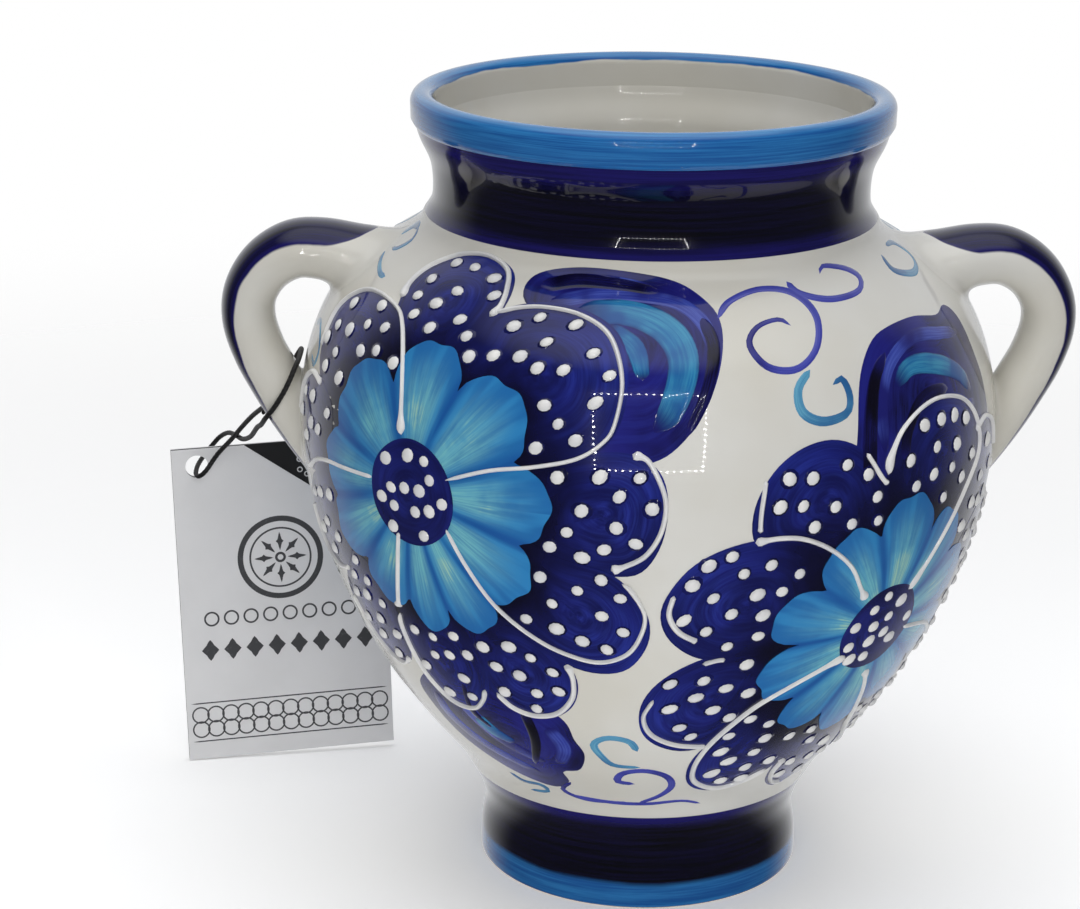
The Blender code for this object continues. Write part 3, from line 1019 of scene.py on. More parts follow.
LOW_TIPS = [(88, 33), (52, 32), (15, 33), (-20, 33), (-55, 33), (-85, 34), (-116, 31.8),
            (-163, 31.5), (-193, 33), (-238, 32)]
LOW_NOTCHES = [(66, 27), (33, 28), (-3, 28), (-38, 28), (-70, 28), (-103, 26.7), (-137, 26),
               (-180, 26), (-214, 26.6), (-253, 27)]
LOW_TRAILS = [
    ([(-7, 39), (-6, 43), (-2, 48), (5, 51.5), (13, 52.5), (22, 50.5), (28, 46), (31, 40),
      (30, 35), (24, 29), (15, 19), (6, 8)], 1.2, 0.9),
    ([(-39, 30), (-39, 35), (-38, 42)], 0.5, 0.0),
    ([(-13, 45), (-9, 39), (-7, 37)], 0.0, 1.4),
    ([(-40, 28), (-34, 28.5), (-28, 27.5), (-21, 24), (-15, 19), (-11, 13), (-8.5, 9.5)], 0.9,
     1.2),
    ([(-56, 16), (-56, 11), (-53, 6.5), (-48, 3.5)], 0.0, 0.2),
    ([(-45, -3), (-42, -2), (-40, -2)], 0.2, 0.5),
    ([(-52, -14), (-52, -20), (-48, -26), (-41, -30), (-33, -31.5)], 0.0, 0.3),
    ([(-8, -6.5), (-14, -9), (-21, -13), (-27, -18), (-31, -25), (-32.5, -32), (-31.5, -40),
      (-28, -47), (-21, -51.5), (-15, -50.5), (-10, -46)], 1.2, 0.2),
    ([(2, -14), (5, -20), (7.5, -28), (10, -36), (14, -42), (18, -47)], 1.2, 0.2),
    ([(-7, -43), (-6.5, -49), (-3, -55), (1, -57)], 1.1, 0.2),
    ([(10, -3.5), (17, -5), (25, -8), (34, -15)], 0.0, 0.2),
    ([(33, -30), (42, -31.5), (49, -27), (52.5, -19)], 0.8, 0.2),
    ([(56.5, 3), (57, 11), (52, 18.5), (43, 22)], 0.2, 0.9),
    ([(47, 33), (43, 40), (36, 42.8), (29, 41.5)], 0.2, 0.9)]
DESIGNS = {"high": (HIGH_LOBES, HIGH_TIPS, HIGH_NOTCHES, HIGH_TRAILS, (-1.0, -1.0), 12.2),
           "low": (LOW_LOBES, LOW_TIPS, LOW_NOTCHES, LOW_TRAILS, (0.0, -0.5), 11.6)}
print("trails drawn:", len(HIGH_TRAILS), "and", len(LOW_TRAILS))

# %% Petal outline from its tips and notches
TIP_BLUNTNESS = 1.8
NOTCH_CUT = 2.6


def petal_radius(angle, tips, notches):
    """Distance from the flower's centre to the rosette's edge, and the place across the petal."""
    turn = (angle - notches[0][0]) % 360.0
    starts = [(notch[0] - notches[0][0]) % 360.0 for notch in notches[1:]]
    order = sorted(zip([0.0] + starts, notches))
    petals = []
    for (low, first), (high, second) in zip(order, order[1:] + [(360.0, order[0][1])]):
        petals.append((low, high, first[1], second[1]))
    for low, high, first, second in petals:
        if low <= turn <= high:
            middle = (low + high) / 2
            tip = next((t for t in tips
                        if low < (t[0] - notches[0][0]) % 360.0 < high), (0.0, 33.0))
            peak = (tip[0] - notches[0][0]) % 360.0
            peak = 0.6 * peak + 0.4 * middle
            side = (turn - peak) / (high - peak if turn > peak else peak - low)
            notch = (second if turn > peak else first) - NOTCH_CUT
            rise = (1.0 - abs(side) ** TIP_BLUNTNESS) ** (1.0 / TIP_BLUNTNESS)
            return notch + (tip[1] - notch) * rise, side
    return 30.0, 0.0


def rosette_outline(tips, notches, count):
    outline = []
    for number in range(count):
        angle = -360.0 * number / count
        distance, side = petal_radius(angle, tips, notches)
        turn = math.radians(angle)
        distance += 0.34 * math.sin(19.0 * turn) + 0.24 * math.sin(31.0 * turn + 1.0)
        outline.append((distance * math.cos(turn), distance * math.sin(turn), side))
    return outline


# %% [markdown]
# ### Cobalt, turquoise and slip finishes
#
# The cobalt was brushed round and round each lobe, so its streaks run along U of the wrap. It
# gets darker towards the flower's centre, which the point attribute `tone` tells. The turquoise
# petals are streaked the other way, from the eye outwards, with a greener, thinner wash near
# the middle and a deeper line between one petal and the next.

# %% Paint materials
COBALT = srgb(24, 30, 110)
COBALT_PALE = srgb(44, 60, 160)
COBALT_DEEP = srgb(8, 7, 34)
TURQUOISE = srgb(48, 132, 192)
TURQUOISE_PALE = srgb(124, 198, 204)
TURQUOISE_DEEP = srgb(28, 92, 162)
SLIP_WHITE = srgb(238, 237, 234)
PETAL_LENGTH = 33.0      # mm from the flower's centre to a tip
ROSETTE_ROUND = 190.0    # mm round the rosette


def wrap_in_mm(tree, along_size, across_size):
    """The wrap UVs as a vector in mm: X along U, Y along V."""
    return stretched(tree, wrap_place(tree), (along_size, across_size, 1.0))


def streaks(tree, vector, across, along):
    return use_group(tree, streaks_group, {"Vector": vector, "Across": across, "Along": along})


def make_cobalt_paint():
    made, tree, shader, place, surface = glazed("cobalt_paint", 0.2, bump=0.07)
    marks = streaks(tree, wrap_in_mm(tree, 110.0, 26.0), 0.85, 0.045)
    tone = tone_value(tree)
    patchy = noise(tree, place, 62.0, detail=3.0)
    depth = math_node(tree, "MULTIPLY_ADD", minus(tree, patchy, 0.5), 0.9, tone)
    colour = mix_colour(tree, smooth_mask(tree, depth, -0.05, 0.62), COBALT_DEEP, COBALT)
    pale = times(tree, marks["Streak"], smooth_mask(tree, depth, 0.1, 1.0))
    colour = mix_colour(tree, times(tree, pale, 0.55), colour, COBALT_PALE)
    dark = times(tree, minus(tree, 1.0, marks["Load"]), 0.5)
    colour = mix_colour(tree, dark, colour, COBALT_DEEP)
    set_colour(tree, shader, colour)
    return made


def make_turquoise_paint():
    made, tree, shader, place, surface = glazed("turquoise_paint", 0.2, bump=0.07)
    split = separated(tree, wrap_place(tree))
    along = times(tree, split[1], PETAL_LENGTH)
    long_way = combined(tree, along, times(tree, split[0], ROSETTE_ROUND))
    marks = streaks(tree, long_way, 0.95, 0.07)
    from_middle = tone_value(tree)
    cloud = noise(tree, place, 52.0, detail=4.0, roughness=0.6)
    body = smooth_mask(tree, split[1], 0.84, 0.42)
    heart = times(tree, body, smooth_mask(tree, from_middle, 0.95, 0.25))
    wash = times(tree, heart, smooth_mask(tree, cloud, 0.32, 0.58, 0.35, 1.0))
    streaked = math_node(tree, "MULTIPLY_ADD", marks["Streak"], 0.55, 0.45)
    wash = times(tree, wash, streaked)
    colour = mix_colour(tree, smooth_mask(tree, marks["Load"], 0.0, 1.0, 0.35, 1.0),
                        TURQUOISE_DEEP, TURQUOISE)
    colour = mix_colour(tree, wash, colour, TURQUOISE_PALE)
    warm = times(tree, smooth_mask(tree, wash, 0.45, 0.9),
                 smooth_mask(tree, noise(tree, place, 90.0), 0.46, 0.60))
    colour = mix_colour(tree, times(tree, warm, 0.55), colour, srgb(186, 216, 176))
    between = smooth_mask(tree, from_middle, 0.74, 1.0)
    depth = smooth_mask(tree, split[1], 0.25, 0.6, 0.35, 0.85)
    between = times(tree, between, depth)
    colour = mix_colour(tree, between, colour, srgb(24, 82, 156))
    set_colour(tree, shader, colour)
    return made


def make_slip():
    made, tree, shader = new_material("white_slip", 0.32, 0.7, 0.08)
    place = object_place(tree)
    grain = noise(tree, place, 1500.0, detail=2.0)
    stain = smooth_mask(tree, noise(tree, place, 160.0, detail=3.0), 0.3, 0.7)
    set_colour(tree, shader, mix_colour(tree, stain, srgb(222, 222, 224), SLIP_WHITE))
    add_bump(tree, shader, grain, 0.12, 0.0002)
    return made


cobalt_paint = make_cobalt_paint()
turquoise_paint = make_turquoise_paint()
slip_white = make_slip()

# %% [markdown]
# ### Paint every flower
#
# One pass over both sides and both designs fills six growing meshes, one for each layer. Each
# film lies a little above the one before it, so that nothing fights for the same surface. The
# dots come last: darts are thrown at the lobes, and one stays if it lies on cobalt, off the
# trails and petals, and far enough from its neighbours.

# %% Lobes, petals, eyes and trails
LOBE_LIFT = 0.05
LOBE_STEP = 0.035
PETAL_LIFT = 0.22
EYE_LIFT = 0.28
TRAIL_WIDTH = 1.15
TRAIL_HEIGHT = 0.62
ROSETTE_POINTS = 240
BASE_RADIUS = 39.0


def loosened(points, rng, amount):
    return [tuple(value + rng.uniform(-amount, amount) for value in p[:2]) for p in points]


def make_rosette(work, tips, notches, where):
    outline = rosette_outline(tips, notches, ROSETTE_POINTS)

    def place(u, v):
        row = round(v * (PATCH_ROWS + 2))
        share = min(row / PATCH_ROWS, 1.0)
        height = PETAL_LIFT if row <= PATCH_ROWS else -UNDER
        if row == PATCH_ROWS + 2:
            share = 0.0
        a, b, side = outline[round(u * ROSETTE_POINTS) % ROSETTE_POINTS]
        return where(a * share, b * share, height), abs(side)

    wrap_grid(work, ROSETTE_POINTS, PATCH_ROWS + 2, place)
    return outline


def belly_paper(heading, middle):
    def where(a, b, lift):
        return on_belly(a, b, lift, (heading, middle))
    return where


def inside(outline, spots):
    """For each spot, True if it lies in the closed outline: its rightward ray crosses it oddly."""
    start = np.array(outline)
    end = np.roll(start, -1, axis=0)
    a, b = spots[:, :1], spots[:, 1:]
    crosses = (start[:, 1] > b) != (end[:, 1] > b)
    share = (b - start[:, 1]) / (end[:, 1] - start[:, 1] + 1e-12)
    ahead = a < start[:, 0] + (end[:, 0] - start[:, 0]) * share
    return np.sum(crosses & ahead, axis=1) % 2 == 1


def clearance(spots, points):
    """For each spot, the distance to the nearest of the points."""
    gaps = spots[:, None, :] - np.array(points)[None, :, :]
    return np.min(np.hypot(gaps[..., 0], gaps[..., 1]), axis=1)


def lobe_tone(a, b):
    """0 next to the petals and 1 at the flower's outer edge."""
    return (math.hypot(a, b) - 29.0) / 26.0


lobes_work = new_mesh_work()
petals_work = new_mesh_work()
eyes_work = new_mesh_work()
trails_work = new_mesh_work()
dots_work = new_mesh_work()
pool_shade_work = new_mesh_work()
DOT_APART = 5.15
EYE_DOT_APART = 4.1
DOT_MARGIN = 1.9
DARTS = 5000
# The ring round each dot is partly glaze pooled round the slip and partly painted shade: its cobalt
# is darker than the lobes round it.
POOL_SHADE_HEIGHT = 0.36        # mm, the ring of glaze that gathers round each dot


def throw_dots(lobes, rosette, trails, eye_middle, eye_radius, where, rng):
    """Scatters dots over the lobes and the eye, clear of petals, trails and each other."""
    outlines = [smooth_path(lobe, 5, closed=True)[:-1] for lobe in lobes]
    petals = [(a, b) for a, b, side in rosette]
    trail_points = np.concatenate([even_path(smooth_path(t[0], 6), 40) for t in trails])
    spots = np.array([(rng.uniform(-60.0, 60.0), rng.uniform(-60.0, 60.0))
                      for number in range(DARTS)])
    from_eye = np.hypot(spots[:, 0] - eye_middle[0], spots[:, 1] - eye_middle[1])
    in_eye = from_eye < eye_radius - 1.5
    on_lobe = np.zeros(DARTS, bool)
    for outline in outlines:
        covered = inside(outline, spots)
        border = clearance(spots, outline)
        on_lobe = np.where(covered, border > DOT_MARGIN + 0.2, on_lobe)
    on_lobe &= ~inside(petals, spots) & (clearance(spots, petals) > DOT_MARGIN)
    free = in_eye | on_lobe
    free &= clearance(spots, trail_points) > np.where(in_eye, DOT_MARGIN, DOT_MARGIN + 0.4)
    kept = []
    for spot, eye in zip(spots[free], in_eye[free]):
        apart = EYE_DOT_APART if eye else DOT_APART
        if all(math.hypot(*(spot - other)) >= apart for other in kept):
            kept.append(spot)
    for a, b in kept:
        size = rng.uniform(1.3, 1.68)
        dot(dots_work, a, b, size, size * 0.62, where, rng)
        # Each dot sits in a wider ring of darker cobalt (tone 0.26): partly pooled glaze, partly
        # painted shade round the raised dot.
        dot(pool_shade_work, a, b, size * 1.32, POOL_SHADE_HEIGHT, where, rng, 0.26)
    return len(kept)


def paint_flower(design, heading, middle, looseness, rng):
    lobes, tips, notches, trails, eye_middle, eye_radius = DESIGNS[design]
    where = belly_paper(heading, middle)
    lobes = [loosened(lobe, rng, looseness) for lobe in lobes]
    base = [(BASE_RADIUS * math.cos(t), BASE_RADIUS * math.sin(t))
            for t in np.linspace(0.0, math.tau, 16, endpoint=False)]
    patch(lobes_work, base, (0.0, 0.0), LOBE_LIFT / 2, where, lambda a, b: -0.4)
    for number, lobe in enumerate(lobes):
        spread = np.mean(np.array(lobe), axis=0)
        patch(lobes_work, lobe, spread, LOBE_LIFT + LOBE_STEP * (number // 2 % 5) / 1.5, where,
              lobe_tone)
    rosette = make_rosette(petals_work, tips, notches, where)
    ring = [(eye_middle[0] + eye_radius * math.cos(t), eye_middle[1] + eye_radius * math.sin(t))
            for t in np.linspace(0.0, math.tau, 12, endpoint=False)]
    patch(eyes_work, loosened(ring, rng, 0.25), eye_middle, EYE_LIFT, where, lambda a, b: 0.45)
    for points, start, end in trails:
        widths = stroke_widths(60, TRAIL_WIDTH * rng.uniform(0.85, 1.15), start, end)
        stroke(trails_work, loosened(points, rng, looseness / 2), widths, TRAIL_HEIGHT, where,
               step=0.7, round_top=0.35)
    return throw_dots(lobes, rosette, trails, eye_middle, eye_radius, where, rng)


dot_count = 0
for side_name, heading in SIDES:
    looseness = 0.05 if side_name == "front" else 0.9
    for design, (turn, middle) in FLOWER_HOMES.items():
        rng = random.Random(f"{side_name} {design}")
        dot_count += paint_flower(design, heading + turn, middle, looseness, rng)
print("slip dots:", dot_count)

for name, work, finish in (("cobalt_lobes", lobes_work, cobalt_paint),
                           ("turquoise_petals", petals_work, turquoise_paint),
                           ("flower_eyes", eyes_work, cobalt_paint),
                           ("slip_trails", trails_work, slip_white),
                           ("dot_pools_and_painted_shade", pool_shade_work, cobalt_paint),
                           ("slip_dots", dots_work, slip_white)):
    finish_piece(name, work, "vase", finish)

# %% [markdown]
# ### Leaves and tendrils
#
# Three dark leaves lie behind the flowers, each a navy patch with broad violet and turquoise
# brush marks laid over it. The tendrils are single strokes of a loaded round brush: they
# start full, thin out in the turn and end in a small curl.

# %% Leaf and tendril outlines, in mm from the middle of the front, level with the equator
LEAVES = [
    [(-31, 47), (-28, 54), (-18, 57), (-5, 56.5), (4, 54), (10, 48), (12.8, 42), (12.9, 34),
     (10.8, 25.5), (6.5, 17.5), (0, 11.5), (-8, 10), (-15, 11.5), (-20, 28), (-26, 40)],
    [(50, -4), (45, 5), (45, 15), (46, 26), (50, 33), (56, 35.5), (66, 36), (77, 34), (83, 35),
     (89, 31), (94, 22), (98, 14), (98, 4), (80, 0), (60, 2)],
    [(-50, -48), (-61, -58), (-58, -67), (-51, -76), (-41, -83), (-31, -88), (-22, -90),
     (-18.5, -86), (-20, -81), (-16, -79), (-15, -72), (-17.5, -66), (-21, -58), (-34, -50)]]
LEAF_MARKS = {
    "violet": [
        ([(-25, 46), (-12, 50), (2, 48.5), (9, 42), (11, 33)], 4.6),
        ([(-26, 53), (-14, 55), (-2, 53.5)], 2.0),
        ([(53, 8), (52, 18), (55, 27), (64, 31.5), (76, 30), (86, 28)], 4.0),
        ([(70, 12), (80, 12), (90, 12)], 4.0),
        ([(-56, -60), (-52, -68), (-44, -75), (-34, -80), (-25, -84)], 4.2),
        ([(-50, -56), (-42, -66), (-34, -73), (-24, -78)], 5.0),
        ([(-24, -62), (-20, -70), (-21, -78)], 4.4)],
    "turquoise": [
        ([(-19, 43.5), (-8, 45), (1, 40.5), (4.5, 32), (2, 22), (-2, 17)], 8.2),
        ([(-12, 41), (-6, 36), (-4, 28)], 5.0),
        ([(56, 22), (62, 25.5), (72, 24), (82, 20), (88, 15)], 5.0),
        ([(-43, -64), (-38, -69), (-32, -72)], 4.6)],
    "navy": [
        ([(-27, 50.5), (-18, 53.5), (-8, 53), (0, 51)], 4.6),
        ([(8.5, 44), (11, 36), (9.5, 26), (5, 16)], 3.2),
        ([(48.5, 2), (48.5, 14), (50, 24), (54, 30)], 4.6),
        ([(59, 5), (60, 12), (66, 18), (76, 18)], 4.4),
        ([(-46, -52), (-44, -62), (-38, -68)], 2.4),
        ([(-30, -57), (-27, -68), (-27, -80)], 3.0)]}
VIOLET_TENDRILS = [
    ([(12, 43), (15, 48), (22, 51), (30, 49), (35.5, 42), (35, 34), (30, 29.5), (23, 30.5),
      (19, 36), (21, 40.5), (26, 42), (29, 40)], 1.9),
    ([(29, 52.5), (32, 48.5), (40, 45.5), (49, 46), (51, 49.5), (47, 53), (40, 55),
      (38.5, 53)], 1.9),
    ([(-3, -84), (-7, -83), (-6, -79), (-1, -77.5), (4, -80), (5.5, -85), (3, -90), (-2, -94)],
     2.0),
    ([(-18, -93), (-8, -94), (0, -94), (8, -93), (13, -95)], 1.5),
    ([(-18, -86), (-20, -91), (-14, -94), (-4, -93.6)], 1.4)]
TEAL_TENDRILS = [
    ([(33, 29), (30, 25), (31, 20), (36, 17.5), (42, 18.5), (43, 22), (41, 26), (38.5, 25)],
     2.2),
    ([(64, 53), (66, 48), (75, 45), (81, 46), (82, 49), (77, 53), (70, 54)], 1.9),
    ([(-3, -69), (-5, -65), (-10, -64), (-13, -67), (-11, -72), (-8, -75.5), (-2, -76)], 2.0),
    ([(-35, -89), (-31, -91.5), (-26, -91), (-24, -93.5), (-29, -95)], 1.6),
    ([(-77, 56), (-83, 55), (-88.5, 50), (-87.5, 45), (-82, 42), (-78, 42)], 2.2),
    ([(-78, 56), (-76, 53), (-81, 49), (-85, 48)], 1.6),
    ([(-117, 22), (-110, 23), (-104, 19), (-106, 15), (-111, 16)], 1.8)]
TENDRIL_LIFT = 0.10
MARK_LIFT = {"violet": 0.075, "turquoise": 0.12, "navy": 0.16}


# %% Leaf and tendril paint
def brushed_paint(name, thin, full, deep, under=None):
    """One brush's colour: thin where the bristles part, full elsewhere, deep where it pools."""
    made, tree, shader, place, surface = glazed(name, 0.2, bump=0.07)
    split = separated(tree, wrap_place(tree))
    across = times(tree, split[1], 26.0)
    marks = streaks(tree, combined(tree, tone_value(tree), across), 0.9, 0.06)
    colour = mix_colour(tree, marks["Streak"], full, thin)
    pooled = smooth_mask(tree, noise(tree, place, 85.0, detail=2.0), 0.42, 0.66)
    colour = mix_colour(tree, pooled, colour, deep)
    if under is not None:
        off_middle = math_node(tree, "ABSOLUTE", minus(tree, split[1], 0.25))
        ragged = math_node(tree, "MULTIPLY_ADD", noise(tree, place, 140.0), 0.16, off_middle)
        ends = math_node(tree, "ABSOLUTE", minus(tree, split[0], 0.5))
        faded = math_node(tree, "MAXIMUM", smooth_mask(tree, ragged, 0.20, 0.31),
                          smooth_mask(tree, ends, 0.30, 0.49))
        colour = mix_colour(tree, faded, colour, under)
    set_colour(tree, shader, colour)
    return made


LEAF_BLUE = srgb(24, 24, 98)
paints = {
    "violet": brushed_paint("violet_paint", srgb(74, 92, 182), srgb(44, 56, 150),
                            srgb(30, 32, 112), LEAF_BLUE),
    "turquoise": brushed_paint("blue_green_paint", srgb(64, 150, 186), srgb(34, 112, 168),
                               srgb(28, 84, 150), LEAF_BLUE),
    "navy": brushed_paint("navy_paint", srgb(22, 22, 84), srgb(12, 9, 46), srgb(7, 5, 24),
                          LEAF_BLUE),
    "tendril": brushed_paint("tendril_paint", srgb(84, 90, 182), srgb(58, 62, 158),
                             srgb(36, 36, 120)),
    "teal": brushed_paint("teal_paint", srgb(112, 176, 202), srgb(62, 130, 176),
                          srgb(44, 96, 150))}


def make_leaf_paint():
    made, tree, shader, place, surface = glazed("leaf_paint", 0.2, bump=0.07)
    marks = streaks(tree, wrap_in_mm(tree, 130.0, 24.0), 0.8, 0.04)
    patchy = smooth_mask(tree, noise(tree, place, 48.0, detail=3.0), 0.35, 0.65)
    colour = mix_colour(tree, patchy, srgb(12, 9, 46), srgb(30, 30, 118))
    colour = mix_colour(tree, times(tree, marks["Streak"], 0.45), colour, srgb(38, 46, 142))
    set_colour(tree, shader, colour)
    return made


# %% Paint the leaves and tendrils on both sides
def paint_strokes(work, strokes, lift, blunt, rng, looseness):
    for heading_index, (side_name, heading) in enumerate(SIDES):
        where = belly_paper(heading, EQUATOR)
        amount = looseness * heading_index
        for number, (points, width) in enumerate(strokes):
            share = np.linspace(0.0, 1.0, 40)
            swell = 0.78 + 0.30 * np.sin(math.pi * share) ** 0.5 - 0.28 * share
            widths = stroke_widths(40, width, blunt=blunt) * swell
            stroke(work, loosened(points, rng, amount), widths, lift, where, sides=12,
                   seed=37.0 * number)


leaves_work = new_mesh_work()
leaf_rng = random.Random("leaves")
for side_name, heading in SIDES:
    for leaf in LEAVES:
        outline = loosened(leaf, leaf_rng, 0.0 if side_name == "front" else 0.8)
        patch(leaves_work, outline, np.mean(np.array(leaf), axis=0), 0.03,
              belly_paper(heading, EQUATOR), count=96)
finish_piece("leaves", leaves_work, "vase", make_leaf_paint())
for colour_name, marks in LEAF_MARKS.items():
    marks_work = new_mesh_work()
    paint_strokes(marks_work, marks, MARK_LIFT[colour_name], 0.35, leaf_rng, 0.8)
    finish_piece(f"leaf_marks_{colour_name}", marks_work, "vase",
                 paints[colour_name])
for colour_name, tendrils in (("tendril", VIOLET_TENDRILS), ("teal", TEAL_TENDRILS)):
    tendril_work = new_mesh_work()
    paint_strokes(tendril_work, tendrils, TENDRIL_LIFT, 1.0, leaf_rng, 0.8)
    finish_piece(f"curls_{colour_name}", tendril_work, "vase",
                 paints[colour_name])

# %% [markdown]
# ## The hang tag
#
# The tag is a card of three leaves that opens like a little book: a pale front leaf with its
# corner cut off, a black inner leaf that shows in the cut, and a pale back leaf. Each leaf is
# one outline and one punched circle filled by `triangle_fill`, cut into strips so that it can
# bow a little, then given its thickness. The print is ink a few hundredths of a millimetre
# thick: a plain rosette, rows of rings and lozenges, and a border of linked rings.

# %% Card leaves
CARD_WIDTH = 55.0
CARD_HEIGHT = 85.0
LEAF = 0.4
LEAF_PITCH = 0.8
TAG_CORNER = Vector((-117.6, 47.3, 0.3))
TAG_TURN = (-1.6, 3.3, 11.6)
PUNCH = (6.5, 80.3)
PUNCH_RADIUS = 3.0
CUT_SLOPE = math.radians(36.0)
BOW = 0.16
tilt, lean, turn = (math.radians(angle) for angle in TAG_TURN)
TAG_MATRIX = (Matrix.Rotation(turn, 4, "Z") @ Matrix.Rotation(-lean, 4, "X")
              @ Matrix.Rotation(tilt, 4, "Y"))


def bow_at(a, b):
    """How far the card bows back at a point, in mm: nothing at its edges."""
    return BOW * math.sin(math.pi * a / CARD_WIDTH) * math.sin(math.pi * b / CARD_HEIGHT)


def card_paper(layer):
    """Places flat card coordinates on the front face of a leaf."""
    def where(a, b, lift):
        local = Vector((a, LEAF_PITCH * layer - lift + bow_at(a, b), b))
        return np.array(TAG_CORNER + TAG_MATRIX @ local)
    return where


def make_leaf(name, layer, cut_from, body, node_name, finish):
    work = new_mesh_work()
    outline = [(0.0, 0.0), (CARD_WIDTH, 0.0)]
    if cut_from is None:
        outline.append((CARD_WIDTH, CARD_HEIGHT))
    else:
        drop = (CARD_WIDTH - cut_from) * math.tan(CUT_SLOPE)
        outline += [(CARD_WIDTH, CARD_HEIGHT - drop), (cut_from, CARD_HEIGHT)]
    outline.append((0.0, CARD_HEIGHT))
    corners = [work.verts.new((a, 0.0, b)) for a, b in outline]
    edges = [work.edges.new(pair) for pair in zip(corners, corners[1:] + corners[:1])]
    upright = Matrix.Translation((PUNCH[0], 0.0, PUNCH[1])) @ Matrix.Rotation(math.pi / 2, 4, "X")
    ring = bmesh.ops.create_circle(work, segments=48, radius=PUNCH_RADIUS, matrix=upright)
    edges += list({edge for vert in ring["verts"] for edge in vert.link_edges})
    bmesh.ops.triangle_fill(work, edges=edges, use_beauty=True, normal=(0.0, -1.0, 0.0))
    cuts = [((CARD_WIDTH * k / 11, 0, 0), (1, 0, 0)) for k in range(1, 11)]
    cuts += [((0, 0, CARD_HEIGHT * k / 17), (0, 0, 1)) for k in range(1, 17)]
    for at, facing in cuts:
        geometry = work.verts[:] + work.edges[:] + work.faces[:]
        bmesh.ops.bisect_plane(work, geom=geometry, dist=0.001, plane_co=at, plane_no=facing)
    made = bmesh.ops.extrude_face_region(work, geom=work.faces[:])
    back = [item for item in made["geom"] if isinstance(item, bmesh.types.BMVert)]
    bmesh.ops.translate(work, verts=back, vec=(0.0, LEAF, 0.0))
    for vert in work.verts:
        local = vert.co.copy()
        local.y += LEAF_PITCH * layer + bow_at(local.x, local.z)
        vert.co = TAG_CORNER + TAG_MATRIX @ local
    finish_piece(name, work, body, finish, node_name, sharp=30.0)


def make_card_finish(name, light, shade, roughness):
    """Smooth coated card: fine fibres, a faint cloudiness and a slightly toothy surface."""
    made, tree, shader = new_material(name, roughness)
    place = object_place(tree)
    fibres = noise(tree, stretched(tree, place, (1.0, 1.0, 2.2)), 1400.0, detail=4.0)
    clouds = smooth_mask(tree, noise(tree, place, 60.0, detail=3.0), 0.3, 0.7, 0.4, 1.0)
    colour = mix_colour(tree, clouds, shade, light)
    flecks = times(tree, smooth_mask(tree, fibres, 0.62, 0.75), 0.25)
    colour = mix_colour(tree, flecks, colour, shade)
    tree.links.new(colour, shader.inputs["Base Color"])
    add_bump(tree, shader, fibres, 0.25, 0.00008)
    return made


pale_card = make_card_finish("pale_card", srgb(226, 226, 227), srgb(217, 217, 218), 0.62)
black_card = make_card_finish("black_card", srgb(38, 37, 38), srgb(30, 30, 31), 0.5)
make_leaf("card_front", 0, 19.0, "tag_front", "tag_front_leaf", pale_card)
make_leaf("card_inner", 1, 30.0, "tag_inner", "tag_inner_leaf", black_card)
make_leaf("card_back", 2, None, "tag", "tag_back_leaf", pale_card)

# %% Printed ornament
INK_LIFT = 0.035
LOZENGE_WAIST = 0.72


def make_ink(name, colour, thin):
    made, tree, shader = new_material(name, 0.45)
    patches = noise(tree, object_place(tree), 900.0, detail=3.0)
    mottled = mix_colour(tree, smooth_mask(tree, patches, 0.55, 0.8), colour, thin)
    tree.links.new(mottled, shader.inputs["Base Color"])
    return made


def ink_ring(work, a, b, radius, width, where, count=28):
    """A closed ring of ink."""
    def place(u, v):
        turn = math.tau * u
        reach = radius + width / 2 * math.cos(math.tau * v)
        up = math.sin(math.tau * v)
        return where(a + reach * math.cos(turn), b + reach * math.sin(turn),
                     up * INK_LIFT if up > 0.0 else up * LEAF / 4), up

    wrap_grid(work, count, 6, place)


def ink_line(work, points, width, where):
    stroke(work, points, stroke_widths(40, width, blunt=8.0), INK_LIFT, where, step=0.8, sides=6)


def lozenge(work, a, b, wide, tall, where, turn=0.0):
    """A small leaf shape with soft points, turned about its own middle."""
    outline = []
    for number in range(8):
        angle = math.tau * number / 8
        reach = (wide, LOZENGE_WAIST * min(wide, tall), tall)[min(number % 4, 4 - number % 4)]
        x, y = reach * math.cos(angle), reach * math.sin(angle)
        outline.append((a + x * math.cos(turn) - y * math.sin(turn),
                        b + x * math.sin(turn) + y * math.cos(turn)))
    patch(work, outline, (a, b), INK_LIFT, where, count=16)


def make_front_print():
    work = new_mesh_work()
    where = card_paper(0)
    middle = (27.0, 54.0)
    for radius, width in ((10.6, 1.5), (8.0, 0.5)):
        ink_ring(work, *middle, radius, width, where, 64)
    for petal in range(8):
        turn = math.tau * petal / 8
        a = middle[0] + 4.4 * math.cos(turn)
        b = middle[1] + 4.4 * math.sin(turn)
        lozenge(work, a, b, 2.5, 1.05, where, turn)
    ink_ring(work, *middle, 1.1, 0.7, where)
    for number in range(8):
        ink_ring(work, 8.0 + 5.2 * number, 38.6, 1.8, 0.5, where)
    for number in range(8):
        lozenge(work, 7.2 + 5.9 * number, 30.0, 2.3, 2.9, where)
    for row in (8.2, 12.2):
        for number in range(13):
            ink_ring(work, 3.6 + 4.0 * number, row, 2.15, 0.42, where)
    for height in (4.9, 15.5):
        ink_line(work, [(1.2, height), (27.0, height), (53.8, height)], 0.35, where)
    finish_piece("printed_ornament", work, "tag_front",
                 make_ink("grey_ink", srgb(70, 71, 74), srgb(92, 93, 96)))


